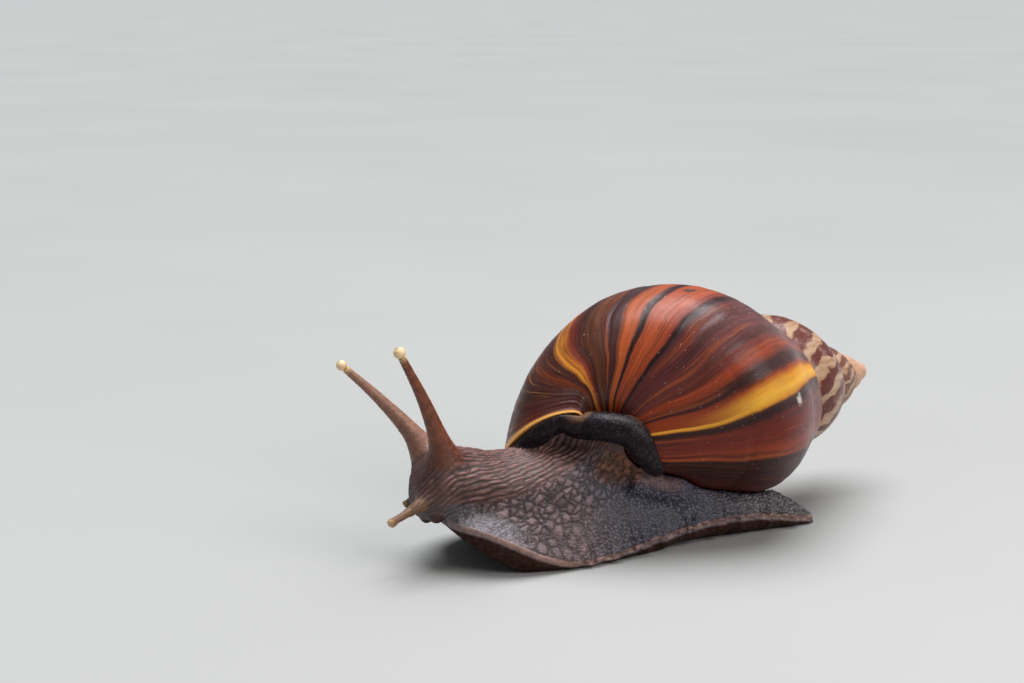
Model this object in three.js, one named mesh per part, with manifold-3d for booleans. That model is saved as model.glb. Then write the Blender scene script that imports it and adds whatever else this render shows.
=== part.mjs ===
// Giant African land snail (Achatina fulica), crawling, life size, as a still museum model.
// Millimetres, +Z up. The snail heads toward -X, its right side is +Y, and its sole lies on Z = 0.
import * as THREE from 'three';
import Module from 'manifold-3d';

const wasm = await Module();
wasm.setup();

// ---- Driving dimensions -------------------------------------------------------------------

// Shell: an oval swept round and down the axis, growing by a fixed ratio each turn.
const SHELL_GROWTH = 1.775;        // size of one whorl over the size of the one before it
const SHELL_TURNS = 5.3;           // turns from the blunt apex to the lip
const WHORL_HALF_WIDTH = 13.34;    // oval section at the lip
const WHORL_HALF_HEIGHT = 15.78;
const WHORL_TILT = deg(27.15);     // the oval's top leans out from the axis
const WHORL_RADIUS = 9.21;         // its centre from the axis
const WHORL_DROP = 60.96;          // its centre below the point where all whorls would meet
const SUTURE_ANGLE = deg(-12);     // place on a whorl where the next one joins it
const SHOULDER_ANGLE = deg(45);    // above this the oval is drawn up to meet the whorl before
const CREST_ANGLE = deg(110);
const SPIRE_FLATTENING = 0.75;     // how much less the early whorls bulge than the last one
const SPIRE_WIDENING = 0.35;       // how much wider the early whorls are for their height
const WIDENING_ANGLE = deg(70);    // the last whorl is drawn out to them above this
const LIP_FLARE = 0.05;
const FLARE_LENGTH = deg(130);
const FLARE_ANGLE = deg(10);       // where on the lip the flare is widest
const SPIRE_STARTS = 0.9;          // turns behind the lip
const FLATTENING_TURNS = 0.9;      // turns over which the spire's own shape comes in
const WIDENING_TURNS = 0.6;
const BASE_SWELL = 14;             // pad of the base beside the columella, over the foot
const SWELL_TURNS = [deg(-390), deg(-130)];
const SWELL_ANGLES = [deg(-110), deg(-6)];
const LIP_RECESS = deg(120);       // how far round the lip falls back at the columella
const RECESS_STARTS = deg(-15);    // angle on the lip below which it falls back
const RECESS_SPAN = deg(85);
const RECESS_SHARPNESS = 2.6;
const LIP_RAMP = deg(200);         // part of the last turn over which that fades out
const LIP_THICKNESS = 1.0;
const MOUTH_RECESS = deg(12);      // depth of the open mouth behind the lip, round the axis
const APEX_BULGE = 0.45;
// Where the shell is carried off the plain spiral: at, by how much, and how far round that tells.
const SHELL_BENDS = [
  { at: [4.5, -7.6, 22], by: [-6.0, 2.2, -2.3], reach: 13 }, // columella, in under the collar
  { at: [14, -3, 9.5], by: [0, -0.5, -1.2], reach: 9 },      // base, down onto the tail
];
const APEX_POINT = [58.34, 17.82, 18.47];
const AXIS_HEADING = deg(23.4);    // from +X toward +Y, base to apex
const AXIS_RISE = deg(-1.1);
const SHELL_ROLL = deg(-111.05);   // of the lip's outer edge round the axis, from straight up

// Foot: a long tapering sole with a thin raised margin, its front edge lifted off the floor.
const FOOT_FRONT = -27.4;
const FOOT_BACK = 34.6;
const SOLE_START = -16;            // where the lifted front comes down to the floor
const FRONT_LIFT = 6.6;
const MARGIN_THICKNESS = 1.1;
const MARGIN_RIPPLE = 0.35;
const RIPPLE_RATE = 1.9;           // radians of ripple in a millimetre
const RIPPLE_STARTS = -12;
const RIPPLE_FADE = 10;
const TAIL_STARTS = 4;
const TAIL_FADE = 12;              // length over which the trunk's section turns into the tail's
const SOLE_FADE = 8;
const SOLE_SHARE = [0.84, 0.54];   // flat share of the sole's width under the trunk, under the tail
const FLANK_BREADTH = [2.6, 1.9];  // higher is squarer; trunk, tail
const FLANK_SKIRT = [1.4, 1.05];   // higher spreads the flank's lower edge; trunk, tail
const FOOT_PARTINGS = [-12, 9];    // where the foot is cut into front, middle and tail

const EYE_DIAMETER = [1.75, 1.6];  // left, right
const SKIN_GAP = 0.3;              // cut between neighbouring pieces

// Facets
const STEPS_PER_TURN = 28;
const WHORL_FACETS = 7;
const BASE_FACETS = 11;
const CUT_SIMPLIFY = 0.05;         // slivers this thin are merged after the cuts

function deg(angle) {
  return (angle * Math.PI) / 180;
}

function clamp01(value) {
  return Math.min(1, Math.max(0, value));
}

function ease(value) {
  const u = clamp01(value);
  return u * u * (3 - 2 * u);
}

function bump(value, from, to) {
  const u = clamp01((value - from) / (to - from));
  return Math.sin(Math.PI * u) ** 2;
}

function mix([first, second], share) {
  return first + (second - first) * share;
}

function centroid(points) {
  const sum = new THREE.Vector3();
  for (const point of points) sum.add(new THREE.Vector3(...point));
  return sum.multiplyScalar(1 / points.length);
}

// Smooth curve through a few knots: [[place, value], ...]
function through(knots, place) {
  if (place <= knots[0][0]) return knots[0][1];
  for (let i = 1; i < knots.length; i += 1) {
    const [x1, y1] = knots[i];
    if (place <= x1) {
      const [x0, y0] = knots[i - 1];
      const [xa, ya] = knots[Math.max(0, i - 2)];
      const [xb, yb] = knots[Math.min(knots.length - 1, i + 1)];
      const u = (place - x0) / (x1 - x0);
      const m0 = ((y1 - ya) / (x1 - xa)) * (x1 - x0);
      const m1 = ((yb - y0) / (xb - x0)) * (x1 - x0);
      const rise = (2 * u ** 3 - 3 * u ** 2 + 1) * y0 + (u ** 3 - 2 * u ** 2 + u) * m0;
      return rise + (3 * u ** 2 - 2 * u ** 3) * y1 + (u ** 3 - u ** 2) * m1;
    }
  }
  return knots[knots.length - 1][1];
}

// ---- Solids -------------------------------------------------------------------------------

function solid(points, triangles) {
  const mesh = new wasm.Mesh({
    numProp: 3,
    vertProperties: Float32Array.from(points.flat()),
    triVerts: Uint32Array.from(triangles.flat()),
  });
  return new wasm.Manifold(mesh);
}

// A solid skinned over rings of the same number of points, closed at both ends.
function loft(rings) {
  const count = rings[0].length;
  const points = rings.flat();
  const triangles = [];
  for (let i = 0; i + 1 < rings.length; i += 1) {
    for (let j = 0; j < count; j += 1) {
      const a = i * count + j;
      const b = i * count + ((j + 1) % count);
      triangles.push([a, b, b + count], [a, b + count, a + count]);
    }
  }
  for (const [ring, flip] of [[0, true], [rings.length - 1, false]]) {
    points.push(centroid(rings[ring]).toArray());
    for (let j = 0; j < count; j += 1) {
      const a = ring * count + j;
      const b = ring * count + ((j + 1) % count);
      triangles.push(flip ? [b, a, points.length - 1] : [a, b, points.length - 1]);
    }
  }
  return outward(solid(points, triangles), points, triangles);
}

function outward(body, points, triangles) {
  if (body.volume() > 0) return body;
  return solid(points, triangles.map(([a, b, c]) => [a, c, b]));
}

// The one body that is kept where a cut leaves slivers beside it.
function largest(body) {
  return body.decompose().reduce((best, one) => (one.volume() > best.volume() ? one : best));
}

// A round limb along a smooth path; radius(u) runs from its root (0) to its tip (1).
function limb(stations, radius, steps, sides) {
  const path = new THREE.CatmullRomCurve3(stations.map((p) => new THREE.Vector3(...p)));
  const frames = path.computeFrenetFrames(steps, false);
  const rings = [];
  for (let i = 0; i <= steps; i += 1) {
    const u = i / steps;
    const centre = path.getPointAt(u);
    const ring = [];
    for (let j = 0; j < sides; j += 1) {
      const angle = (2 * Math.PI * j) / sides;
      const reach = radius(u);
      const point = centre.clone()
        .addScaledVector(frames.normals[i], reach * Math.cos(angle))
        .addScaledVector(frames.binormals[i], reach * Math.sin(angle));
      ring.push(point.toArray());
    }
    rings.push(ring);
  }
  return loft(rings);
}

// A ball or egg of given half sizes.
function ball(centre, half, rows, sides) {
  const rings = [];
  for (let i = 1; i < rows; i += 1) {
    const up = Math.PI * (i / rows - 0.5);
    const ring = [];
    for (let j = 0; j < sides; j += 1) {
      const round = (2 * Math.PI * j) / sides;
      ring.push([
        centre[0] + half[0] * Math.cos(up) * Math.cos(round),
        centre[1] + half[1] * Math.cos(up) * Math.sin(round),
        centre[2] + half[2] * Math.sin(up),
      ]);
    }
    rings.push(ring);
  }
  return loft(rings);
}

// ---- Shell --------------------------------------------------------------------------------

const MEET = liftToMeet();

// Oval section of the last whorl, in the plane through the axis: [radius, height].
function oval(angle) {
  const x = WHORL_HALF_WIDTH * Math.cos(angle);
  const y = WHORL_HALF_HEIGHT * Math.sin(angle);
  return [
    WHORL_RADIUS + x * Math.cos(WHORL_TILT) + y * Math.sin(WHORL_TILT),
    -WHORL_DROP - x * Math.sin(WHORL_TILT) + y * Math.cos(WHORL_TILT),
  ];
}

// What the oval's crest has to move by to sit on the suture of the whorl before it.
function liftToMeet() {
  const suture = oval(SUTURE_ANGLE).map((value) => value / SHELL_GROWTH);
  const crest = oval(CREST_ANGLE);
  return [suture[0] - crest[0], suture[1] - crest[1]];
}

// Where the oval reaches the axis at the base.
function axisAngle() {
  let low = deg(-130);
  let high = deg(-60);
  for (let i = 0; i < 60; i += 1) {
    const middle = (low + high) / 2;
    if (oval(middle)[0] > 0) high = middle;
    else low = middle;
  }
  return high;
}

const BASE_ANGLE = axisAngle();

// From 0 on the last whorl to 1 in the spire.
function inSpire(turn, turns) {
  return ease((-turn / (2 * Math.PI) - SPIRE_STARTS) / turns);
}

function profile(angle, turn) {
  const lift = clamp01((angle - SHOULDER_ANGLE) / (CREST_ANGLE - SHOULDER_ANGLE)) ** 2;
  let [r, z] = oval(angle);
  r += MEET[0] * lift;
  z += MEET[1] * lift;
  if (angle >= SUTURE_ANGLE) {
    const low = oval(SUTURE_ANGLE);
    const high = low.map((value) => value / SHELL_GROWTH);
    const length = Math.hypot(high[0] - low[0], high[1] - low[1]);
    const along = ((r - low[0]) * (high[0] - low[0]) + (z - low[1]) * (high[1] - low[1])) / length ** 2;
    const flat = SPIRE_FLATTENING * inSpire(turn, FLATTENING_TURNS);
    r += flat * (low[0] + along * (high[0] - low[0]) - r);
    z += flat * (low[1] + along * (high[1] - low[1]) - z);
  } else {
    z -= BASE_SWELL * bump(turn, ...SWELL_TURNS) * bump(angle, ...SWELL_ANGLES);
  }
  return [Math.max(0, r), z];
}

function widening(turn) {
  return 1 + SPIRE_WIDENING * inSpire(turn, WIDENING_TURNS);
}

// How far the lip lags behind the outer edge, and growth with it on the last turn.
function lag(angle, turn) {
  const fade = clamp01(1 + turn / LIP_RAMP);
  return LIP_RECESS * clamp01((RECESS_STARTS - angle) / RECESS_SPAN) ** RECESS_SHARPNESS * fade;
}

const axisX = new THREE.Vector3(
  Math.cos(AXIS_RISE) * Math.cos(AXIS_HEADING),
  Math.cos(AXIS_RISE) * Math.sin(AXIS_HEADING),
  Math.sin(AXIS_RISE),
);
const upright = new THREE.Vector3(0, 0, 1).addScaledVector(axisX, -axisX.z).normalize();
const lipOut = upright.clone().applyAxisAngle(axisX, SHELL_ROLL);
const lipUp = new THREE.Vector3().crossVectors(axisX, lipOut);

// From round-the-axis places to the snail's own frame.
function placeShell(round, r, z) {
  return new THREE.Vector3(...APEX_POINT)
    .addScaledVector(lipOut, r * Math.cos(round))
    .addScaledVector(lipUp, r * Math.sin(round))
    .addScaledVector(axisX, z)
    .toArray();
}

function shellPoint(turn, angle) {
  const at = turn - lag(angle, turn);
  const size = SHELL_GROWTH ** (at / (2 * Math.PI));
  const [r, z] = profile(angle, turn);
  const drawn = clamp01((angle - WIDENING_ANGLE) / (CREST_ANGLE - WIDENING_ANGLE)) ** 2;
  const earlier = widening(turn - 2 * Math.PI);
  const wide = widening(turn) + (earlier - widening(turn)) * drawn;
  const nearLip = clamp01(1 + turn / FLARE_LENGTH);
  const flare = 1 + LIP_FLARE * nearLip * Math.cos(angle - FLARE_ANGLE) ** 2;
  return placeShell(-at, r * size * wide * flare, z * size);
}

// Carries a point back along the whorl, deeper into the shell.
function deeper(point, round) {
  const from = new THREE.Vector3(...point).sub(new THREE.Vector3(...APEX_POINT));
  const size = SHELL_GROWTH ** (-round / (2 * Math.PI));
  return from.applyAxisAngle(axisX, round).multiplyScalar(size)
    .add(new THREE.Vector3(...APEX_POINT)).toArray();
}

function bent(point) {
  return SHELL_BENDS.reduce((place, { at, by, reach }) => {
    const away = place.distanceTo(new THREE.Vector3(...at));
    const share = Math.max(0, 1 - (away / reach) ** 2) ** 2;
    return place.clone().addScaledVector(new THREE.Vector3(...by), share);
  }, new THREE.Vector3(...point)).toArray();
}

function shellMesh() {
  const last = Math.round(SHELL_TURNS * STEPS_PER_TURN);
  const points = [];
  const whorl = [];
  const base = [];
  for (let k = 0; k <= last; k += 1) {
    const turn = ((k - last) * 2 * Math.PI) / STEPS_PER_TURN;
    whorl.push([]);
    for (let j = 0; j <= WHORL_FACETS; j += 1) {
      if (j === WHORL_FACETS && k >= STEPS_PER_TURN) {
        whorl[k].push(whorl[k - STEPS_PER_TURN][0]);
        continue;
      }
      const angle = SUTURE_ANGLE + ((CREST_ANGLE - SUTURE_ANGLE) * j) / WHORL_FACETS;
      points.push(shellPoint(turn, angle));
      whorl[k].push(points.length - 1);
    }
    base.push([whorl[k][0]]);
    for (let j = 1; j <= BASE_FACETS && k >= last - STEPS_PER_TURN; j += 1) {
      const angle = SUTURE_ANGLE + ((BASE_ANGLE - SUTURE_ANGLE) * j) / BASE_FACETS;
      points.push(shellPoint(turn, angle));
      base[k].push(points.length - 1);
    }
  }
  const triangles = [];
  const patch = (a, b, c, d) => triangles.push([a, b, c], [a, c, d]);
  for (let k = 0; k < last; k += 1) {
    for (let j = 0; j < WHORL_FACETS; j += 1) {
      patch(whorl[k][j], whorl[k + 1][j], whorl[k + 1][j + 1], whorl[k][j + 1]);
    }
    for (let j = 0; j < BASE_FACETS && k >= last - STEPS_PER_TURN; j += 1) {
      patch(base[k][j + 1], base[k + 1][j + 1], base[k + 1][j], base[k][j]);
    }
  }
  closeApex(points, triangles, whorl);
  const rim = mouthRim(whorl, base, last);
  const mouthMiddle = centroid(rim.map((p) => points[p]));
  openMouth(points, triangles, rim, mouthMiddle);
  return { points: points.map(bent), triangles, mouthMiddle };
}

function closeApex(points, triangles, whorl) {
  const ring = [];
  for (let k = 0; k < STEPS_PER_TURN; k += 1) ring.push(whorl[k][WHORL_FACETS]);
  for (let j = 0; j < WHORL_FACETS; j += 1) ring.push(whorl[0][j]);
  const tip = centroid(ring.map((p) => points[p])).addScaledVector(axisX, APEX_BULGE);
  points.push(tip.toArray());
  for (let i = 0; i < ring.length; i += 1) {
    triangles.push([ring[i], ring[(i + 1) % ring.length], points.length - 1]);
  }
}

// The edge of the mouth: down the lip, up the columella and along the whorl before.
function mouthRim(whorl, base, last) {
  const rim = [];
  for (let j = WHORL_FACETS; j >= 0; j -= 1) rim.push(whorl[last][j]);
  for (let j = 1; j <= BASE_FACETS; j += 1) rim.push(base[last][j]);
  for (let k = last - 1; k >= last - STEPS_PER_TURN; k -= 1) rim.push(base[k][BASE_FACETS]);
  for (let j = BASE_FACETS - 1; j >= 1; j -= 1) rim.push(base[last - STEPS_PER_TURN][j]);
  return rim;
}

function openMouth(points, triangles, rim, middle) {
  const count = rim.length;
  const inner = [];
  for (const p of rim) {
    const at = new THREE.Vector3(...points[p]);
    const reach = middle.clone().sub(at);
    at.addScaledVector(reach, LIP_THICKNESS / reach.length());
    inner.push(points.push(at.toArray()) - 1);
  }
  const deep = inner.map((p) => points.push(deeper(points[p], MOUTH_RECESS)) - 1);
  const floor = points.push(deeper(middle.toArray(), MOUTH_RECESS)) - 1;
  for (let i = 0; i < count; i += 1) {
    const n = (i + 1) % count;
    triangles.push([rim[i], rim[n], inner[n]], [rim[i], inner[n], inner[i]]);
    triangles.push([inner[i], inner[n], deep[n]], [inner[i], deep[n], deep[i]]);
    triangles.push([deep[i], deep[n], floor]);
  }
}

// The same skin moved out along its own normals.
function grown({ points, triangles }, distance) {
  const normals = points.map(() => new THREE.Vector3());
  for (const [a, b, c] of triangles) {
    const pa = new THREE.Vector3(...points[a]);
    const ab = new THREE.Vector3(...points[b]).sub(pa);
    const ac = new THREE.Vector3(...points[c]).sub(pa);
    const normal = ab.cross(ac);
    for (const p of [a, b, c]) normals[p].add(normal);
  }
  return points.map((point, i) => {
    const step = normals[i].normalize().multiplyScalar(distance);
    return new THREE.Vector3(...point).add(step).toArray();
  });
}

// ---- Foot, trunk and tail -----------------------------------------------------------------

// Each is [distance along the body, millimetres].
const FOOT_HALF_WIDTHS = [
  [-27.4, 5.6], [-26, 8.2], [-23, 10.2], [-18, 11.6], [-10, 11.8], [-3, 11.0],
  [5, 9.4], [12, 7.9], [20, 6.0], [28, 3.8], [33, 1.7], [34.6, 0.5],
];
const FOOT_MIDLINE = [
  [-27.4, -2.3], [-8, -2], [4, -1.8], [12, -2.0], [20, -2.8], [28, -3.7], [34.6, -4.8],
];
const MARGIN_HEIGHTS = [
  [-27.4, 6.9], [-24, 6.3], [-20, 4.6], [-15, 2.1], [-10, 0.6], [-3, 0.8],
  [5, 1.9], [14, 2.9], [22, 2.8], [28, 1.8], [34.6, 0.35],
];
const BACK_HEIGHTS = [
  [-27.4, 8.9], [-24, 10.2], [-18, 13], [-10, 15], [-2, 15.4], [6, 13.2],
  [14, 10], [22, 7.8], [27, 6.1], [31, 4], [34.6, 1.3],
];

function soleHeight(x) {
  return x > SOLE_START ? 0 : FRONT_LIFT * ((SOLE_START - x) / (SOLE_START - FOOT_FRONT)) ** 1.5;
}

// Height over the margin of the flank, from the midline (0) out to the margin (1).
function flank(across, x) {
  const tail = ease((x - TAIL_STARTS) / TAIL_FADE);
  return (1 - across ** mix(FLANK_BREADTH, tail)) ** mix(FLANK_SKIRT, tail);
}

// Cross-section at x: under the sole, round the margin and over the back.
function footRing(x, grow) {
  const half = through(FOOT_HALF_WIDTHS, x);
  const ripple = MARGIN_RIPPLE * Math.sin(x * RIPPLE_RATE) * ease((x - RIPPLE_STARTS) / RIPPLE_FADE);
  const margin = Math.max(0.3, through(MARGIN_HEIGHTS, x) + ripple);
  const sole = soleHeight(x);
  const top = margin + MARGIN_THICKNESS;
  const back = Math.max(top + 0.4, through(BACK_HEIGHTS, x));
  const flatShare = mix(SOLE_SHARE, ease((x - TAIL_STARTS) / SOLE_FADE));
  const side = [
    [flatShare * 0.5, sole - grow],
    [flatShare, sole - grow],
    [0.94, sole + 0.55 * Math.max(0, margin - sole) - grow],
    [0.985, Math.max(sole + 0.05, margin) - grow],
    [1, margin + MARGIN_THICKNESS / 2],
    [0.975, top + grow],
  ];
  for (const across of [0.9, 0.8, 0.68, 0.54, 0.38, 0.2]) {
    side.push([across, top + (back - top) * flank(across, x) + grow]);
  }
  const middle = through(FOOT_MIDLINE, x);
  const spread = (half + grow) / half;
  const right = side.map(([across, z]) => [x, middle + across * half * spread, z]);
  const left = side.map(([across, z]) => [x, middle - across * half * spread, z]).reverse();
  return [[x, middle, sole - grow], ...right, [x, middle, back + grow], ...left];
}

function footSolid(from, to, step, grow) {
  const count = Math.round((to - from) / step);
  const rings = [];
  for (let i = 0; i <= count; i += 1) rings.push(footRing(from + ((to - from) * i) / count, grow));
  return loft(rings);
}

// ---- Neck and head ------------------------------------------------------------------------

// [x, middle y, middle z, half width, half height, squareness]
const NECK_STATIONS = [
  [-4, -1.8, 11.0, 6.2, 5.0, 2],
  [-12, -2.0, 11.0, 7.6, 5.2, 2],
  [-18, -2.4, 11.1, 7.2, 4.9, 2],
  [-22, -2.8, 11.6, 6.4, 5.4, 2],
  [-25.3, -3.2, 12.0, 5.8, 5.6, 2.1],
  [-28, -3.6, 12.05, 5.5, 5.15, 2.25],
  [-30, -3.8, 11.7, 4.9, 4.4, 2.3],
  [-31.3, -3.9, 11.2, 3.8, 3.3, 2.2],
  [-31.9, -4, 10.9, 2.3, 2.0, 2.1],
];
const NECK_SIDES = 20;
const HEAD_PARTING = -25.3;
const HEAD_FRONT = -31.9;
const NECK_BACK = -6;
const MANTLE_BACK = 14;

function neckRing([x, y, z, halfWidth, halfHeight, square], grow) {
  const ring = [];
  for (let j = 0; j < NECK_SIDES; j += 1) {
    const angle = (2 * Math.PI * j) / NECK_SIDES;
    const c = Math.cos(angle);
    const s = Math.sin(angle);
    ring.push([
      x,
      y + (halfWidth + grow) * Math.sign(c) * Math.abs(c) ** (2 / square),
      z + (halfHeight + grow) * Math.sign(s) * Math.abs(s) ** (2 / square),
    ]);
  }
  return ring;
}

function neckAt(x) {
  const knots = [...NECK_STATIONS].reverse();
  return [x, ...[1, 2, 3, 4, 5].map((k) => through(knots.map((row) => [row[0], row[k]]), x))];
}

function neckSolid(from, to, count, grow) {
  const rings = [];
  for (let i = 0; i <= count; i += 1) {
    rings.push(neckRing(neckAt(from + ((to - from) * i) / count), grow));
  }
  return loft(rings);
}

// ---- Feelers, eyes and mouth --------------------------------------------------------------

// Upper feelers, [left, right]: root, bends and the middle of the eye at the tip.
const UPPER_FEELERS = [
  [[-26.6, -4.6, 13.6], [-28.0, -5.9, 18.6], [-31.1, -8.05, 26], [-35.45, -10.7, 34.1]],
  [[-26.9, 0.3, 13.5], [-30.0, 1.75, 18.8], [-34.8, 3.2, 24.4], [-39.9, 4.6, 29.4]],
];
const UPPER_FEELER_RADII = [[0, 2.9], [0.16, 2.25], [0.3, 1.45], [0.5, 1.0], [0.8, 0.62], [1, 0.48]];
const LOWER_FEELERS = [
  [[-28.8, -6.6, 11.2], [-31.8, -7.8, 10.7], [-35.0, -8.7, 9.55], [-37.05, -9.5, 8.85]],
  [[-28.6, -0.6, 10.2], [-30.2, 0.4, 9.2], [-31.0, 0.8, 8.6], [-31.7, 1.1, 8.0]],
];
const LOWER_FEELER_RADII = [[0, 1.9], [0.3, 1.2], [0.6, 0.66], [0.86, 0.56], [0.94, 0.68], [1, 0.48]];
const MOUTH_LOBES = [
  { centre: [-29.25, -7.4, 8.7], half: [1.15, 1.05, 1.1] },
  { centre: [-29.5, -3.2, 7.6], half: [1.05, 1.05, 1.2] },
];

function upperFeeler(side) {
  const path = UPPER_FEELERS[side];
  const tip = new THREE.Vector3(...path[3]);
  const before = new THREE.Vector3(...path[2]);
  const reach = EYE_DIAMETER[side] / 2 + SKIN_GAP;
  const end = tip.clone().add(before.sub(tip).normalize().multiplyScalar(reach));
  return limb([path[0], path[1], path[2], end.toArray()], (u) => through(UPPER_FEELER_RADII, u), 12, 10);
}

function lowerFeeler(side) {
  return limb(LOWER_FEELERS[side], (u) => through(LOWER_FEELER_RADII, u), 9, 8);
}

function eye(side) {
  const half = EYE_DIAMETER[side] / 2;
  return ball(UPPER_FEELERS[side][3], [half, half, half], 7, 10);
}

// ---- Mantle collar ------------------------------------------------------------------------

// Lip angles that the collar follows, then its way back over the base of the shell, on the left.
const COLLAR_LIP_ANGLES = [92, 55, 20, -12, -36, -54, -68].map(deg);
const COLLAR_OVER_BASE = [
  [-6.6, -5.8, 19.9], [-3.4, -8.8, 20.1], [0, -10.7, 19.3], [2.0, -11.1, 16.7], [4.1, -10.2, 14.2],
  [6.8, -7.0, 12.6], [10.6, -3.0, 10.8], [14.6, 2.0, 9.4], [16.8, 7.0, 10.8],
];
const COLLAR_INSET = 2.3;
const COLLAR_PROUD = deg(6);
const COLLAR_STEPS = 32;
const COLLAR_SIDES = 8;
const MANTLE_SIDES = 24;
const MANTLE_LEAN = new THREE.Vector3(-0.15, -0.2, -0.95);
const MANTLE_LEVELS = [
  { share: 0.82, drop: -1.2 },
  { share: 0.96, drop: 0 },
  { share: 0.82, drop: 3 },
  { share: 0.45, drop: 7 },
];
const COLLAR_RADII = [
  [0, 1.5], [0.2, 1.8], [0.34, 2.3], [0.46, 2.0], [0.56, 2.3], [0.62, 2.5], [0.66, 2.1],
  [0.71, 1.4], [0.77, 1.2], [1, 1.5],
];

// The flank's fold of flesh that the rear end of the collar tucks in behind.
const FLANK_FOLD = [[1, -8.6, 11.2], [5.5, -8.6, 10.0], [8, -8, 9.3], [10.5, -7, 8.0], [15, -5.4, 6.2]];
const FLANK_FOLD_RADII = [[0, 1.7], [0.35, 2.0], [0.6, 2.1], [1, 1.1]];

function collarPath(mouthMiddle) {
  const stations = COLLAR_LIP_ANGLES.map((angle) => {
    const at = new THREE.Vector3(...shellPoint(0, angle));
    const reach = mouthMiddle.clone().sub(at);
    at.addScaledVector(reach, COLLAR_INSET / reach.length());
    return new THREE.Vector3(...deeper(at.toArray(), -COLLAR_PROUD));
  });
  stations.push(...COLLAR_OVER_BASE.map((p) => new THREE.Vector3(...p)));
  return new THREE.CatmullRomCurve3(stations, true);
}

function collarSolid(path, grow) {
  const frames = path.computeFrenetFrames(COLLAR_STEPS, true);
  const points = [];
  for (let i = 0; i < COLLAR_STEPS; i += 1) {
    const centre = path.getPointAt(i / COLLAR_STEPS);
    const reach = through(COLLAR_RADII, i / COLLAR_STEPS) + grow;
    for (let j = 0; j < COLLAR_SIDES; j += 1) {
      const angle = (2 * Math.PI * j) / COLLAR_SIDES;
      const point = centre.clone()
        .addScaledVector(frames.normals[i], reach * Math.cos(angle))
        .addScaledVector(frames.binormals[i], reach * Math.sin(angle));
      points.push(point.toArray());
    }
  }
  const triangles = [];
  for (let i = 0; i < COLLAR_STEPS; i += 1) {
    for (let j = 0; j < COLLAR_SIDES; j += 1) {
      const across = (j + 1) % COLLAR_SIDES;
      const next = ((i + 1) % COLLAR_STEPS) * COLLAR_SIDES;
      const here = i * COLLAR_SIDES;
      triangles.push([here + j, here + across, next + across], [here + j, next + across, next + j]);
    }
  }
  return outward(solid(points, triangles), points, triangles);
}

// The flesh inside the collar, from within the mouth of the shell down to the foot.
function mantleSolid(path) {
  const edge = path.getSpacedPoints(MANTLE_SIDES).slice(0, MANTLE_SIDES);
  const middle = centroid(edge);
  return loft(MANTLE_LEVELS.map(({ share, drop }) => edge.map((at) => (
    middle.clone().lerp(at, share).addScaledVector(MANTLE_LEAN, drop).toArray()
  ))));
}

// ---- Assembly -----------------------------------------------------------------------------

const shell = shellMesh();
let shellSolid = solid(shell.points, shell.triangles);
if (shellSolid.volume() < 0) {
  shell.triangles = shell.triangles.map(([a, b, c]) => [a, c, b]);
  shellSolid = solid(shell.points, shell.triangles);
}
const shellSpace = solid(grown(shell, SKIN_GAP), shell.triangles);
const collarWay = collarPath(shell.mouthMiddle);
const collar = collarSolid(collarWay, 0).subtract(shellSpace);
const collarSpace = collarSolid(collarWay, SKIN_GAP);
const footSpace = footSolid(FOOT_FRONT, MANTLE_BACK, 2, SKIN_GAP);
const neckSpace = neckSolid(HEAD_PARTING, NECK_BACK, 6, SKIN_GAP);
const headSpace = neckSolid(HEAD_FRONT, HEAD_PARTING, 7, SKIN_GAP)
  .add(neckSolid(HEAD_PARTING, NECK_BACK, 8, SKIN_GAP));
const half = SKIN_GAP / 2;

const pieces = [];
const flesh = 0x4a3128;
function piece(name, body, colour = flesh, roughness = 0.5) {
  pieces.push({ name, body, colour, roughness });
}

piece('shell', shellSolid, 0x5a2013, 0.3);
piece('mantle_collar', collar, 0x17161c, 0.45);
const clearOfShell = (body) => body.subtract(shellSpace).subtract(collarSpace);
const [frontParting, tailParting] = FOOT_PARTINGS;
piece('foot_front', clearOfShell(footSolid(FOOT_FRONT, frontParting - half, 1.9, 0)));
piece('foot_middle', clearOfShell(footSolid(frontParting + half, tailParting - half, 2, 0)));
piece('tail', clearOfShell(footSolid(tailParting + half, FOOT_BACK, 1.9, 0)));
piece('neck', clearOfShell(neckSolid(HEAD_PARTING + half, NECK_BACK, 7, 0)).subtract(footSpace));
const flankFold = limb(FLANK_FOLD, (u) => through(FLANK_FOLD_RADII, u), 7, 8);
const mantle = clearOfShell(mantleSolid(collarWay).add(flankFold));
piece('mantle', mantle.subtract(footSpace).subtract(neckSpace));
piece('head', neckSolid(HEAD_FRONT, HEAD_PARTING - half, 7, 0).subtract(footSpace));
for (const [side, word] of [[0, 'left'], [1, 'right']]) {
  piece(`upper_feeler_${word}`, upperFeeler(side).subtract(headSpace));
  piece(`eye_${word}`, eye(side), 0xd8b878, 0.35);
  piece(`lower_feeler_${word}`, lowerFeeler(side).subtract(headSpace));
  const lobe = MOUTH_LOBES[side];
  piece(`mouth_lobe_${word}`, ball(lobe.centre, lobe.half, 6, 10).subtract(headSpace));
}

const group = new THREE.Group();
for (const { name, body, colour, roughness } of pieces) {
  const mesh = largest(body).simplify(CUT_SIMPLIFY).getMesh();
  const geometry = new THREE.BufferGeometry();
  geometry.setAttribute('position', new THREE.BufferAttribute(Float32Array.from(mesh.vertProperties), 3));
  geometry.setIndex(new THREE.BufferAttribute(Uint32Array.from(mesh.triVerts), 1));
  geometry.computeVertexNormals();
  const material = new THREE.MeshStandardMaterial({ color: colour, roughness, metalness: 0 });
  const part = new THREE.Mesh(geometry, material);
  part.name = name;
  group.add(part);
}

// The origin lies on the floor under the middle of the whole snail.
const box = new THREE.Box3().setFromObject(group);
const middle = box.getCenter(new THREE.Vector3());
for (const part of group.children) part.geometry.translate(-middle.x, -middle.y, -box.min.z);

export default group;
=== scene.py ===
"""Giant African land snail, crawling: skin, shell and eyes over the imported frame."""
import math
from itertools import product

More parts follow.
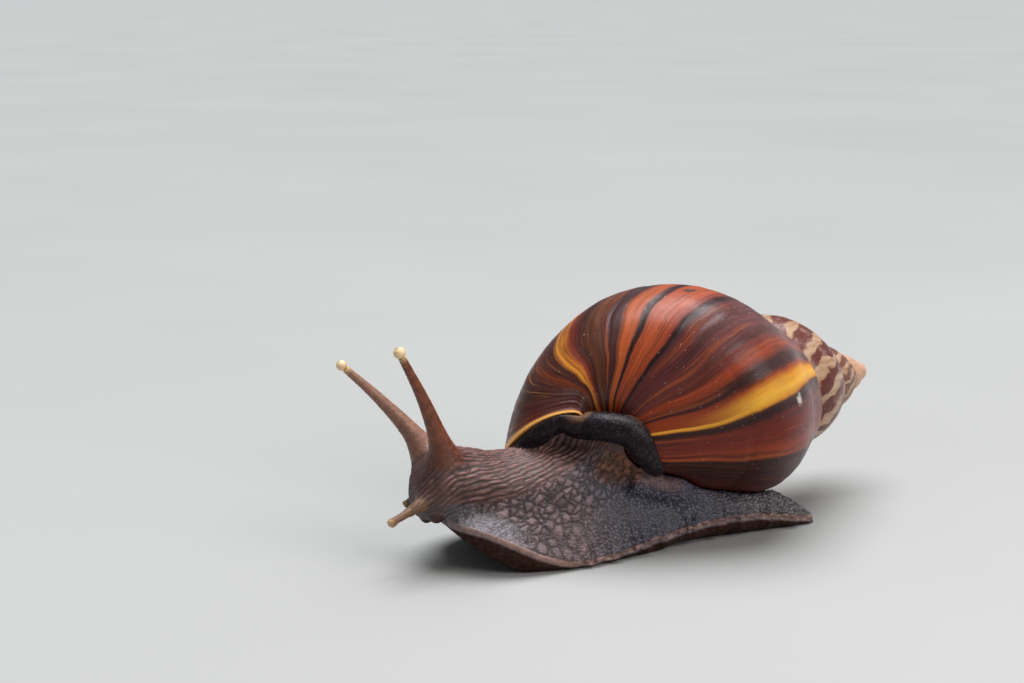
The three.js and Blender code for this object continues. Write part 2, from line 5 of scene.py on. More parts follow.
import bpy
import numpy as np
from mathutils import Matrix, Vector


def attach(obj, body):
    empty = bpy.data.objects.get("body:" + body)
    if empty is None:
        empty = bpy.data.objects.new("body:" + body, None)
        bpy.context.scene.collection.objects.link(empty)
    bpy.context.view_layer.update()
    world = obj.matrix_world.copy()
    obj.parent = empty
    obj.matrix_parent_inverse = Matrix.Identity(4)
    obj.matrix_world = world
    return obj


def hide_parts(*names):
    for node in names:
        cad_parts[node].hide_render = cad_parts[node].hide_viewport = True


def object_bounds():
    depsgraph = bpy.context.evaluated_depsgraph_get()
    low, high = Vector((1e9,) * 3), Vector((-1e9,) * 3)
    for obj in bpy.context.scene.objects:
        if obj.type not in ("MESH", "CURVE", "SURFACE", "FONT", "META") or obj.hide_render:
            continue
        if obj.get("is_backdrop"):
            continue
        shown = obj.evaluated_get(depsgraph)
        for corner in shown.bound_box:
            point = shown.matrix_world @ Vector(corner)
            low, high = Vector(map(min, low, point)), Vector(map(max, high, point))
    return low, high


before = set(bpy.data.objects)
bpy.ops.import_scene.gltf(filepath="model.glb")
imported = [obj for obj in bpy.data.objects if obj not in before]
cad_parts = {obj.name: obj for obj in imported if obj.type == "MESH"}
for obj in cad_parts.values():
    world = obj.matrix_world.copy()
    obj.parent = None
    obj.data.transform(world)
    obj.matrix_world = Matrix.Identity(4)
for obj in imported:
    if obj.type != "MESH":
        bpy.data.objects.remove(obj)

import openvdb
from mathutils import Vector

cad_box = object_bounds()

# ---- Sizes ----
# Millimetres and degrees, as in part.mjs, in the snail's own frame: it heads toward -X, its
# right side is +Y and its sole lies on Z = 0. CENTRE is what part.mjs takes off at the end.
CENTRE = np.array([7.9466, 0.9704, 0.0])
MM = 0.001

SHELL_GROWTH = 1.775
SHELL_TURNS = 5.3
WHORL_HALF_WIDTH = 13.34
WHORL_HALF_HEIGHT = 15.78
WHORL_TILT = 27.15
WHORL_RADIUS = 9.21
WHORL_DROP = 60.96
SUTURE_ANGLE = -12.0
SHOULDER_ANGLE = 45.0
CREST_ANGLE = 110.0
BASE_ANGLE = -100.4
SPIRE_FLATTENING = 0.75
SPIRE_WIDENING = 0.35
WIDENING_ANGLE = 70.0
LIP_FLARE = 0.05
FLARE_LENGTH = 130.0
FLARE_ANGLE = 10.0
SPIRE_STARTS = 0.9
FLATTENING_TURNS = 0.9
WIDENING_TURNS = 0.6
BASE_SWELL = 14.0
SWELL_TURNS = (-390.0, -130.0)
SWELL_ANGLES = (-110.0, -6.0)
LIP_RECESS = 120.0
RECESS_STARTS = -15.0
RECESS_SPAN = 85.0
RECESS_SHARPNESS = 2.6
LIP_RAMP = 200.0
LIP_THICKNESS = 1.0
MOUTH_RECESS = 12.0
APEX_BULGE = 0.45
# Where the shell is carried off the plain spiral: at, by how much, and how far round that tells.
SHELL_BENDS = [
    ((4.5, -7.6, 22.0), (-6.0, 2.2, -2.3), 13.0),
    ((14.0, -3.0, 9.5), (0.0, -0.5, -1.2), 9.0),
]
APEX_POINT = np.array([58.34, 17.82, 18.47])
AXIS_HEADING = 23.4
AXIS_RISE = -1.1
SHELL_ROLL = -111.05

SHELL_STEPS = 480          # round one turn
WHORL_ROWS = 46            # from the suture up to the crest
BASE_ROWS = 66             # from the suture down to the columella, on the last turn

FOOT_FRONT = -27.4
FOOT_BACK = 34.6
SOLE_START = -16.0
FRONT_LIFT = 6.6
MARGIN_THICKNESS = 1.1
TAIL_STARTS = 4.0
FOOT_HALF_WIDTHS = [
    (-27.4, 5.6), (-26, 8.2), (-23, 10.2), (-18, 11.6), (-10, 11.8), (-3, 11.0),
    (5, 9.4), (12, 7.9), (20, 6.0), (28, 3.8), (33, 1.7), (34.6, 0.5),
]
FOOT_MIDLINE = [(-27.4, -2.3), (-8, -2), (4, -1.8), (12, -2.0), (20, -2.8), (28, -3.7), (34.6, -4.8)]
MARGIN_HEIGHTS = [
    (-27.4, 6.9), (-24, 6.3), (-20, 4.6), (-15, 2.1), (-10, 0.6), (-3, 0.8),
    (5, 1.9), (14, 2.9), (22, 2.8), (28, 1.8), (34.6, 0.35),
]
BACK_HEIGHTS = [
    (-27.4, 8.9), (-24, 10.2), (-18, 13), (-10, 15), (-2, 15.4), (6, 13.2),
    (14, 10), (22, 7.8), (27, 6.1), (31, 4), (34.6, 1.3),
]

# Along the neck and head: x, middle y, middle z, half width, half height, squareness.
NECK_STATIONS = [
    (-31.9, -4.0, 10.9, 2.3, 2.0, 2.1), (-31.3, -3.9, 11.2, 3.8, 3.3, 2.2),
    (-30.0, -3.8, 11.7, 4.9, 4.4, 2.3), (-28.0, -3.6, 12.05, 5.5, 5.15, 2.25),
    (-25.3, -3.2, 12.0, 5.8, 5.6, 2.1), (-22.0, -2.8, 11.6, 6.4, 5.4, 2.0),
    (-18.0, -2.4, 11.1, 7.2, 4.9, 2.0), (-12.0, -2.0, 11.0, 7.6, 5.2, 2.0),
    (-4.0, -1.8, 11.0, 6.2, 5.0, 2.0),
]
# Left and right: root, bends, and the middle of the eye or the tip.
UPPER_FEELERS = [
    [(-26.6, -4.6, 13.6), (-28.0, -5.9, 18.6), (-31.1, -8.05, 26.0), (-35.45, -10.7, 34.1)],
    [(-26.9, 0.3, 13.5), (-30.0, 1.75, 18.8), (-34.8, 3.2, 24.4), (-39.9, 4.6, 29.4)],
]
UPPER_FEELER_RADII = [(0, 2.9), (0.16, 2.25), (0.3, 1.45), (0.5, 1.0), (0.8, 0.62), (1, 0.48)]
LOWER_FEELERS = [
    [(-28.8, -6.6, 11.2), (-31.8, -7.8, 10.7), (-35.0, -8.7, 9.55), (-37.05, -9.5, 8.85)],
    [(-28.6, -0.6, 10.2), (-30.2, 0.4, 9.2), (-31.0, 0.8, 8.6), (-31.7, 1.1, 8.0)],
]
LOWER_FEELER_RADII = [(0, 1.9), (0.3, 1.2), (0.6, 0.66), (0.86, 0.56), (0.94, 0.68), (1, 0.48)]
MOUTH_LOBES = [((-29.25, -7.4, 8.7), (1.15, 1.05, 1.1)), ((-29.5, -3.2, 7.6), (1.05, 1.05, 1.2))]
EYE_RADIUS = (0.875, 0.8)
EYE_GAP = 0.03
EYE_SEAT = 0.4             # how far behind a bulb's middle its stalk ends, as a share of its radius

COLLAR_LIP_ANGLES = (92, 55, 20, -12, -36, -54, -68)
COLLAR_OVER_BASE = [
    (-6.6, -5.8, 19.9), (-3.4, -8.8, 20.1), (0, -10.7, 19.3), (2.0, -11.1, 16.7), (4.1, -10.2, 14.2),
    (6.8, -7.0, 12.6), (10.6, -3.0, 10.8), (14.6, 2.0, 9.4), (16.8, 7.0, 10.8),
]
COLLAR_INSET = 2.3
COLLAR_PROUD = 6.0
COLLAR_RADII = [
    (0, 1.5), (0.2, 1.8), (0.34, 2.3), (0.46, 2.0), (0.56, 2.3), (0.62, 2.5), (0.66, 2.1),
    (0.71, 1.4), (0.77, 1.2), (1, 1.5),
]
MANTLE_LEAN = np.array([-0.15, -0.2, -0.95])
MANTLE_LEVELS = [(0.82, -1.2), (0.96, 0.0), (0.82, 3.0), (0.45, 7.0)]
# The foot across: the share that lies flat, how broad its back is, how hollow its sides are, and
# the places that shape its upper side, as shares of the half width.
FLAT_SHARE = 0.84
BACK_BREADTH = 2.6
BACK_HOLLOW = 1.4
BACK_SECTION = (0.975, 0.95, 0.9, 0.85, 0.8, 0.74, 0.68, 0.61, 0.54, 0.46, 0.38, 0.29, 0.2, 0.1)
FLANK_FOLD = [(1, -8.6, 11.2), (5.5, -8.6, 10.0), (8, -8, 9.3), (10.5, -7, 8.0), (15, -5.4, 6.2)]
FLANK_FOLD_RADII = [(0, 1.7), (0.35, 2.0), (0.6, 2.1), (1, 1.1)]

# How wide each part's join to the body is rounded, in millimetres.
BLENDS = {
    "mantle": 2.4, "fold": 2.2, "upper_left": 1.8, "lower_left": 1.0, "lobe_left": 0.7,
    "upper_right": 1.8, "lower_right": 1.0, "lobe_right": 0.7,
}
NECK_BLEND = 0.8           # with the foot, at the head
NECK_BLEND_GROWS = 1.8     # and so much more where the neck ends
COLLAR_BLEND = 0.5
SHELL_BLEND = 0.5

# The flesh is worked out on a block of cells, then meshed and smoothed.
VOXEL = 0.25
BLOCK_LOW = np.array([-42.0, -17.0, -2.0])
BLOCK_HIGH = np.array([37.0, 18.0, 37.0])
BAND = 12                  # cells on each side of a surface in which distances are known
SHELL_CLEARANCE = 0.16
LATTICE_LOSS = 0.12        # what a thin limb loses of its radius between the cells

# Camera: the photo's view, to the snail's left, a little ahead of it and above.
CAMERA_PLACE = np.array([-107.977, -234.86, 85.0]) * MM
CAMERA_TURN = -20.0
CAMERA_PITCH = -12.0
LENS = 60.0

# Light, in metres: a wide soft sky that keeps the floor pale to its end, and a soft panel.
SKY_FROM = (0.07, 0.17, 0.98)
KEY_PLACE = (0.3, -0.46, 0.38)
KEY_AIM = (0.0, 0.0, 0.015)
FLOOR_HALF = 30.0


# ---- Small maths ----

def clamp01(value):
    return np.clip(value, 0.0, 1.0)


def ease(value):
    u = clamp01(value)
    return u * u * (3 - 2 * u)


def bump(value, start, end):
    return np.sin(np.pi * clamp01((value - start) / (end - start))) ** 2


def mix(first, second, share):
    return first + (second - first) * share


def through(knots, place):
    """Smooth curve through a few (place, value) knots, held level past both ends."""
    xs, ys = np.array(knots, float).T
    place = np.clip(np.asarray(place, float), xs[0], xs[-1])
    slopes = np.empty_like(ys)
    slopes[1:-1] = (ys[2:] - ys[:-2]) / (xs[2:] - xs[:-2])
    slopes[0] = (ys[1] - ys[0]) / (xs[1] - xs[0])
    slopes[-1] = (ys[-1] - ys[-2]) / (xs[-1] - xs[-2])
    i = np.clip(np.searchsorted(xs, place), 1, len(xs) - 1)
    span = xs[i] - xs[i - 1]
    u = (place - xs[i - 1]) / span
    rise = (2 * u**3 - 3 * u**2 + 1) * ys[i - 1] + (u**3 - 2 * u**2 + u) * slopes[i - 1] * span
    return rise + (3 * u**2 - 2 * u**3) * ys[i] + (u**3 - u**2) * slopes[i] * span


def unit(vectors):
    return vectors / np.maximum(np.linalg.norm(vectors, axis=-1, keepdims=True), 1e-12)


def distance(points, place, size=1.0):
    """How far each point is from a place, in units of size, which may differ each way."""
    return np.linalg.norm((points - np.array(place)) / size, axis=1)


def round_circle(sides):
    """Cosines and sines of evenly spread angles."""
    angle = np.arange(sides) * 2 * np.pi / sides
    return np.cos(angle), np.sin(angle)


def scatter(cells, salt):
    """A fixed pseudo-random number from 0 to 1 for each whole-number cell."""
    x, y, z = (cells[..., k].astype(np.uint64) for k in range(3))
    mixed = x * np.uint64(73856093) ^ y * np.uint64(19349663) ^ z * np.uint64(83492791)
    mixed = (mixed + np.uint64(salt * 2654435761)) * np.uint64(6364136223846793005)
    mixed = (mixed ^ (mixed >> np.uint64(29))) * np.uint64(1181783497276652981)
    return ((mixed >> np.uint64(40)) / float(1 << 24)).astype(np.float32)


def corner_shares(u):
    """A cell's eight corners, and what each counts for at the places u inside it."""
    for corner in product((0, 1), repeat=3):
        yield corner, np.prod([u[:, k] if corner[k] else 1 - u[:, k] for k in range(3)], axis=0)


def noise(points, size, salt):
    """Smooth noise from -1 to 1 with lumps of about the given size."""
    places = points / size
    low = np.floor(places).astype(np.int64)
    u = places - low
    shares = corner_shares(u * u * (3 - 2 * u))
    return 2 * sum(share * scatter(low + corner, salt) for corner, share in shares) - 1


def noise3(points, size, salt):
    """Three noises, one for each way, that warp the points by their values."""
    return np.stack([noise(points, size, salt + k) for k in range(3)], -1)


def pebbles(points, size, salt):
    """Packed rounded cells: height from 0 in the grooves to 1 on the tops, and a tag for each cell."""
    places = points / np.asarray(size)
    low = np.floor(places).astype(np.int64)
    nearest = np.full(len(points), 9.0)
    second = np.full(len(points), 9.0)
    tag = np.zeros(len(points), np.float32)
    for step in product((-1, 0, 1), repeat=3):
        cell = low + step
        spot = cell + np.stack([scatter(cell, salt + k) for k in range(3)], -1)
        away = np.linalg.norm(spot - places, axis=1)
        closer = away < nearest
        second = np.where(closer, nearest, np.minimum(second, away))
        tag = np.where(closer, scatter(cell, salt + 7), tag)
        nearest = np.where(closer, away, nearest)
    edge = 1 - (1 - clamp01((second - nearest) / 0.7)) ** 2
    return edge * (0.48 + 0.52 * clamp01(1 - nearest**2 * 1.4)), tag


def smooth_path(stations, count, closed=False):
    """Evenly spaced points on a centripetal Catmull-Rom curve through the stations."""
    given = np.asarray(stations, float)
    if closed:
        knots = np.vstack([given[-1:], given, given[:2]])
    else:
        knots = np.vstack([2 * given[0] - given[1], given, 2 * given[-1] - given[-2]])
    dense = []
    for p0, p1, p2, p3 in zip(knots, knots[1:], knots[2:], knots[3:]):
        t1 = np.linalg.norm(p1 - p0) ** 0.5
        t2 = t1 + np.linalg.norm(p2 - p1) ** 0.5
        t3 = t2 + np.linalg.norm(p3 - p2) ** 0.5
        t = np.linspace(t1, t2, 40, endpoint=False)[:, None]
        a1 = p0 + (p1 - p0) * t / t1
        a2 = mix(p1, p2, (t - t1) / (t2 - t1))
        a3 = mix(p2, p3, (t - t2) / (t3 - t2))
        b1 = mix(a1, a2, t / t2)
        b2 = mix(a2, a3, (t - t1) / (t3 - t1))
        dense.append(mix(b1, b2, (t - t1) / (t2 - t1)))
    dense = np.vstack(dense + [knots[-2:-1]])
    along = np.concatenate([[0], np.cumsum(np.linalg.norm(np.diff(dense, axis=0), axis=1))])
    places = np.linspace(0, along[-1], count + 1)
    even = np.stack([np.interp(places, along, dense[:, k]) for k in range(3)], -1)
    return even[:-1] if closed else even


# ---- Shell surface ----

def cos_sin(degrees):
    return np.cos(np.radians(degrees)), np.sin(np.radians(degrees))


def whorl_oval(angle):
    c, s = cos_sin(angle)
    lean, rise = cos_sin(WHORL_TILT)
    x = WHORL_HALF_WIDTH * c
    y = WHORL_HALF_HEIGHT * s
    return WHORL_RADIUS + x * lean + y * rise, -WHORL_DROP - x * rise + y * lean


def in_spire(turn, turns):
    return ease((-turn / 360 - SPIRE_STARTS) / turns)


def whorl_profile(angle, turn):
    r, z = whorl_oval(angle)
    low_r, low_z = whorl_oval(SUTURE_ANGLE)
    crest_r, crest_z = whorl_oval(CREST_ANGLE)
    high_r, high_z = low_r / SHELL_GROWTH, low_z / SHELL_GROWTH
    lift = clamp01((angle - SHOULDER_ANGLE) / (CREST_ANGLE - SHOULDER_ANGLE)) ** 2
    r = r + (high_r - crest_r) * lift
    z = z + (high_z - crest_z) * lift
    run_r, run_z = high_r - low_r, high_z - low_z
    along = ((r - low_r) * run_r + (z - low_z) * run_z) / (run_r**2 + run_z**2)
    flat = np.where(angle >= SUTURE_ANGLE, SPIRE_FLATTENING * in_spire(turn, FLATTENING_TURNS), 0)
    r = r + flat * (low_r + along * run_r - r)
    z = z + flat * (low_z + along * run_z - z)
    swell = BASE_SWELL * bump(turn, *SWELL_TURNS) * bump(angle, *SWELL_ANGLES)
    return np.maximum(0, r), z - np.where(angle < SUTURE_ANGLE, swell, 0)


def shell_axes():
    flat, rise = cos_sin(AXIS_RISE)
    ahead, aside = cos_sin(AXIS_HEADING)
    axis = np.array([flat * ahead, flat * aside, rise])
    upright = unit(np.array([0, 0, 1.0]) - axis * axis[2])
    c, s = cos_sin(SHELL_ROLL)
    lip_out = upright * c + np.cross(axis, upright) * s
    return axis, lip_out, np.cross(axis, lip_out)


AXIS, LIP_OUT, LIP_UP = shell_axes()


def growth_at(turn, angle):
    """How far round the whorl was growing, in degrees, when this place was the lip."""
    fade = clamp01(1 + turn / LIP_RAMP)
    behind = clamp01((RECESS_STARTS - angle) / RECESS_SPAN) ** RECESS_SHARPNESS
    return turn - LIP_RECESS * behind * fade


def widening(turn):
    return 1 + SPIRE_WIDENING * in_spire(turn, WIDENING_TURNS)


def shell_point(turn, angle):
    turn, angle = np.broadcast_arrays(np.asarray(turn, float), np.asarray(angle, float))
    at = growth_at(turn, angle)
    size = SHELL_GROWTH ** (at / 360)
    r, z = whorl_profile(angle, turn)
    drawn = clamp01((angle - WIDENING_ANGLE) / (CREST_ANGLE - WIDENING_ANGLE)) ** 2
    wide = mix(widening(turn), widening(turn - 360), drawn)
    near_lip = clamp01(1 + turn / FLARE_LENGTH)
    r = r * size * wide * (1 + LIP_FLARE * near_lip * cos_sin(angle - FLARE_ANGLE)[0] ** 2)
    c, s = cos_sin(-at)
    place = (r * c)[..., None] * LIP_OUT + (r * s)[..., None] * LIP_UP
    return APEX_POINT + place + (z * size)[..., None] * AXIS


def bent(points):
    for at, by, reach in SHELL_BENDS:
        share = np.maximum(0, 1 - (distance(points, at) / reach) ** 2) ** 2
        points = points + np.array(by) * share[:, None]
    return points


def deeper(points, back):
    """Carries points back along the whorl, deeper into the shell."""
    away = points - APEX_POINT
    c, s = cos_sin(back)
    turned = away * c + np.cross(AXIS, away) * s + AXIS * (away @ AXIS)[..., None] * (1 - c)
    return APEX_POINT + turned * SHELL_GROWTH ** (-back / 360)


# ---- Building meshes ----

def placed(name, data):
    """A new object in the scene, made of the data."""
    made = bpy.data.objects.new(name, data)
    bpy.context.scene.collection.objects.link(made)
    return made


def new_object(name, points, faces):
    """A smooth object from points in the snail's own millimetres and faces of any size."""
    mesh = bpy.data.meshes.new(name)
    sizes = [f.shape[1] for f in faces for _ in range(len(f))]
    corners = np.concatenate([f.ravel() for f in faces]).astype(np.int32)
    mesh.vertices.add(len(points))
    mesh.loops.add(len(corners))
    mesh.loops.foreach_set("vertex_index", corners)
    mesh.polygons.add(len(sizes))
    starts = np.concatenate([[0], np.cumsum(sizes)[:-1]]).astype(np.int32)
    mesh.polygons.foreach_set("loop_start", starts)
    mesh.polygons.foreach_set("use_smooth", np.ones(len(sizes), bool))
    mesh.vertices.foreach_set("co", ((points - CENTRE) * MM).astype(np.float32).ravel())
    mesh.update(calc_edges=True)
    mesh.validate()
    return placed(name, mesh)


def read(mesh, what):
    """Each point's place, "co", or its "normal", as rows of three."""
    values = np.empty(len(mesh.vertices) * 3, np.float32)
    mesh.vertices.foreach_get(what, values)
    return values.reshape(-1, 3).astype(float)


def move_points(mesh, points):
    """Moves a mesh's points to places in the snail's own millimetres."""
    mesh.vertices.foreach_set("co", ((points - CENTRE) * MM).astype(np.float32).ravel())
    mesh.update()


def give(mesh, name, values, domain="POINT"):
    """Stores one number, or one colour, for each point or face corner."""
    values = np.asarray(values, np.float32)
    if values.ndim == 1:
        layer = mesh.attributes.new(name, "FLOAT", domain)
        layer.data.foreach_set("value", values)
    else:
        rgba = np.ones((len(values), 4), np.float32)
        rgba[:, :3] = values
        layer = mesh.attributes.new(name, "FLOAT_COLOR", domain)
        layer.data.foreach_set("color", rgba.ravel())


def fan(ring, centre):
    """Triangles from a ring of points to one point."""
    return np.stack([ring, np.roll(ring, -1), np.full(len(ring), centre)], -1)


def bands(near, far):
    """Quads between closed rings of points and the rings that follow them."""
    return np.stack([near, np.roll(near, -1, 1), np.roll(far, -1, 1), far], -1).reshape(-1, 4)


def quads_of(grid):
    """Four corners for each face of a grid, as numbers of points or as values there."""
    return np.stack([grid[:-1, :-1], grid[1:, :-1], grid[1:, 1:], grid[:-1, 1:]], -1).reshape(-1, 4)


# ---- Shell ----

# How far the coloured bands leave the plain line of the lip. For each growth: pairs of an angle
# on the whorl and the degrees of growth by which they are moved there.
MARK_SHIFTS = [
    (0.0, [(-100, 0), (110, 0)]),
    (-60.0, [(-100, 40), (-72, 20), (-59, 0), (110, 0)]),
    (-110.0, [
        (-100, 85), (-65, 27), (-54, 16), (-46, 11), (-38, 6), (-28, 4), (-15, 1), (0, 0), (110, 0),
    ]),
    (-185.0, [(-100, 16), (-52, 9.5), (-32, 11.5), (-5, 5), (24, 0), (64, -6), (110, -9)]),
    (-225.0, [(-100, 16), (-33, 10), (-22, 9), (-2, 4), (25, 0), (110, 0)]),
    (-330.0, [(-100, 0), (110, 0)]),
]
# Worn places: a dull white chip low on the right, and a dark scar on the top.
SHELL_MARKS = [
    ("chip", (25.95, -14.12, 23.09), (0.55, 0.7, 0.95)),
    ("scar", (12.71, -3.23, 38.58), (1.3, 0.6, 0.6)),
]
MARK_DEPTH = 0.07
MARK_RAGGED = 0.35
# Growth lines in the shell's relief: degrees from line to line, depth and salt; then the creases.
GROWTH_LINES = ((11.0, 0.09, 91), (4.2, 0.05, 92), (1.9, 0.035, 93))
GROWTH_CREASES = (-92.0, -108.5, -127.0, -153.0, -189.0, -232.0, -300.0)
CREASE_DEPTH = 0.11
CREASE_WIDTH = 1.1
# The lip's rounded edge as shares of its thickness and how proud it stands, then the mouth's rings.
LIP_SECTION = ((0.12, 0.1), (0.35, 0.18), (0.65, 0.14), (0.92, 0.0), (1.0, -0.35))
LIP_LOOKBACK = 3.0         # degrees back, for the way that the lip faces
MOUTH_RINGS = (3.0, 7.0, MOUTH_RECESS)
INSIDE_MARK = 8.0          # a growth that stands for the inside of the mouth


def mark_growth(turn, angle):
    """Growth as the shell's bands show it, in degrees, below zero back from the lip."""
    places = [mark[0] for mark in MARK_SHIFTS]
    total = np.zeros_like(angle)
    for k, (_, shifts) in enumerate(MARK_SHIFTS):
        others = [(place, float(n == k)) for n, place in enumerate(places)]
        total = total + np.interp(turn, *np.array(others[::-1]).T) * through(shifts, angle)
    return turn + total


def open_shell():
    """The shell before its ends are closed. Each sheet holds faces, and growth and angle there."""
    steps, rows, deep_rows = SHELL_STEPS, WHORL_ROWS, BASE_ROWS
    last = round(SHELL_TURNS * steps)
    turns = (np.arange(last + 1) - last) * 360 / steps
    whorl_angles = np.linspace(SUTURE_ANGLE, CREST_ANGLE, rows + 1)
    base_angles = np.linspace(SUTURE_ANGLE, BASE_ANGLE, deep_rows + 1)
    turn, angle = np.meshgrid(turns, whorl_angles, indexing="ij")
    base_turn, base_angle = np.meshgrid(turns[last - steps:], base_angles, indexing="ij")
    count = (last + 1) * rows
    whorl = np.empty(turn.shape, np.int64)
    whorl[:, :rows] = np.arange(count).reshape(-1, rows)
    whorl[:steps, rows] = count + np.arange(steps)
    whorl[steps:, rows] = whorl[:-steps, 0]
    base = np.empty(base_turn.shape, np.int64)
    base[:, 0] = whorl[last - steps:, 0]
    base[:, 1:] = count + steps + np.arange((steps + 1) * deep_rows).reshape(-1, deep_rows)
    blocks = [
        (turn[:, :rows], angle[:, :rows]), (turn[:steps, rows], angle[:steps, rows]),
        (base_turn[:, 1:], base_angle[:, 1:]),
    ]
    points = np.vstack([shell_point(*block).reshape(-1, 3) for block in blocks])
    relief = np.concatenate([shell_relief(*block) for block in blocks])
    upper = (whorl, mark_growth(turn, angle), angle)
    lower = (base, mark_growth(base_turn, base_angle), base_angle)
    sheets = [[quads_of(grid) for grid in upper], [quads_of(grid)[:, ::-1] for grid in lower]]
    rim = [whorl[last, ::-1], base[-1, 1:], base[-2::-1, deep_rows][:steps]]
    rim.append(base[0, deep_rows - 1:0:-1])
    apex_ring = np.concatenate([whorl[:steps, rows], whorl[0, :rows]])
    return points, relief, sheets, np.concatenate(rim), apex_ring


def shell_relief(turn, angle):
    """Height of the growth lines, in millimetres, faded out along the sutures and the lip."""
    mark = mark_growth(turn, angle).ravel()
    turn, high = turn.ravel(), angle.ravel()
    size = SHELL_GROWTH ** np.maximum(turn / 360, -3.5)
    lines = np.zeros(len(mark))
    for spacing, depth, salt in GROWTH_LINES:
        lines += depth * noise(np.stack([mark / spacing, high / 38.0, 0 * mark], -1), 1.0, salt)
    for place in GROWTH_CREASES:
        lines -= CREASE_DEPTH * np.exp(-((mark - place) / CREASE_WIDTH) ** 2)
    sutures = ease((107 - high) / 10)
    below = mix(1.0, ease((high - SUTURE_ANGLE) / 9), ease((-345 - turn) / 30))
    return lines * size * sutures * below * ease(-turn / 5) * ease((high + 98) / 14)


def add_ring(points, sheets, ring, place, mark):
    """Adds a strip of quads from a ring of points to a new ring."""
    new = len(points) + np.arange(len(place))
    across = bands(ring[None], new[None])
    sheets.append([across, np.full(across.shape, mark), np.zeros(across.shape)])
    return np.vstack([points, place]), new


def add_centre(points, sheets, ring, centre, mark, angle):
    """Closes a ring of points with triangles to a new point."""
    around = fan(ring, len(points))
    sheets.append([around, np.full(around.shape, mark), np.full(around.shape, angle)])
    return np.vstack([points, centre])


def closed_shell():
    """The shell's points, relief and sheets, closed all over, and the middle of its mouth."""
    points, relief, sheets, rim, apex_ring = open_shell()
    tip = points[apex_ring].mean(0) + AXIS * APEX_BULGE
    points = add_centre(points, sheets, apex_ring, tip, -360 * SHELL_TURNS, CREST_ANGLE)
    lip = points[rim]
    middle = lip.mean(0)
    inward = unit(middle - lip)
    out = unit(lip - deeper(lip, LIP_LOOKBACK))
    ring = rim
    for depth, proud in LIP_SECTION:
        place = lip + inward * LIP_THICKNESS * depth + out * proud
        points, ring = add_ring(points, sheets, ring, place, 0.0)
    inner = points[ring]
    for back in MOUTH_RINGS:
        points, ring = add_ring(points, sheets, ring, deeper(inner, back), INSIDE_MARK)
    floor = deeper(middle[None], MOUTH_RECESS)
    points = add_centre(points, sheets, ring, floor, INSIDE_MARK + 2, 0.0)
    relief = np.concatenate([relief, np.zeros(len(points) - len(relief))])
    return bent(points), relief, sheets, middle


def build_shell():
    points, relief, sheets, middle = closed_shell()
    outward = [[values[:, ::-1] for values in sheet] for sheet in sheets]
    faces = [sheet[0] for sheet in outward]
    piece = new_object("snail_shell", points, faces)
    for name, place, size in SHELL_MARKS:
        away = distance(points, place, size) + MARK_RAGGED * noise(points, 0.5, 95)
        patch = ease((1.1 - away) / 0.35)
        relief = relief - MARK_DEPTH * patch
        give(piece.data, name, patch)
    move_points(piece.data, points + read(piece.data, "normal") * relief[:, None])
    for k, name, whole in ((1, "growth", 360), (2, "height", 100)):
        values = np.concatenate([sheet[k].ravel() for sheet in outward])
        give(piece.data, name, values / whole, "CORNER")
    return piece, points, faces, middle


# ---- Flesh: closed forms ----

def loft(rings):
    """Points, triangles and quads of a closed form skinned over rings of equal count."""
    rings = np.asarray(rings, float)
    rows, count = rings.shape[:2]
    points = np.vstack([rings.reshape(-1, 3), rings[0].mean(0), rings[-1].mean(0)])
    index = np.arange(rows * count).reshape(rows, count)
    caps = [fan(index[0], rows * count), fan(index[-1], rows * count + 1)]
    return points, np.vstack(caps), bands(index[:-1], index[1:])


def circles(path, ahead, reference, radii, sides=24):
    """Rings of points round a path, square to the way that it runs."""
    across = unit(np.cross(ahead, reference))
    over = np.cross(ahead, across)
    c, s = round_circle(sides)
    ring = c[:, None, None] * across + s[:, None, None] * over
    return path[:, None] + np.swapaxes(ring, 0, 1) * radii[:, None, None]


def limb(stations, knots, reference, count=60):
    path = smooth_path(stations, count)
    radii = through(knots, np.linspace(0, 1, count + 1))
    return loft(circles(path, unit(np.gradient(path, axis=0)), reference, radii))


def ball(centre, half, rows=24, sides=32):
    up = np.pi * (np.arange(1, rows) / rows - 0.5)
    c, s = round_circle(sides)
    level = np.cos(up)[:, None]
    heights = np.broadcast_to(np.sin(up)[:, None], (rows - 1, sides))
    rings = np.stack([level * c, level * s, heights], -1)
    return loft(np.asarray(centre) + rings * np.asarray(half))


def sole_height(x):
    rise = clamp01((SOLE_START - x) / (SOLE_START - FOOT_FRONT))
    return FRONT_LIFT * rise**1.5


def margin_ripple(x, side):
    """Frills of the foot's edge: how far out and how far up they carry it."""
    back = ease((x + 14) / 14)
    slow = np.sin(1.35 * x + 1.1 * side) + 0.6 * np.sin(2.3 * x + 2.0 + side)
    quick = np.sin(4.6 * x + 0.7 * side) * (0.6 + 0.4 * np.sin(0.8 * x))
    return back * (0.2 * slow + 0.2 * quick), back * (0.2 * np.sin(1.9 * x + side) + 0.16 * quick)


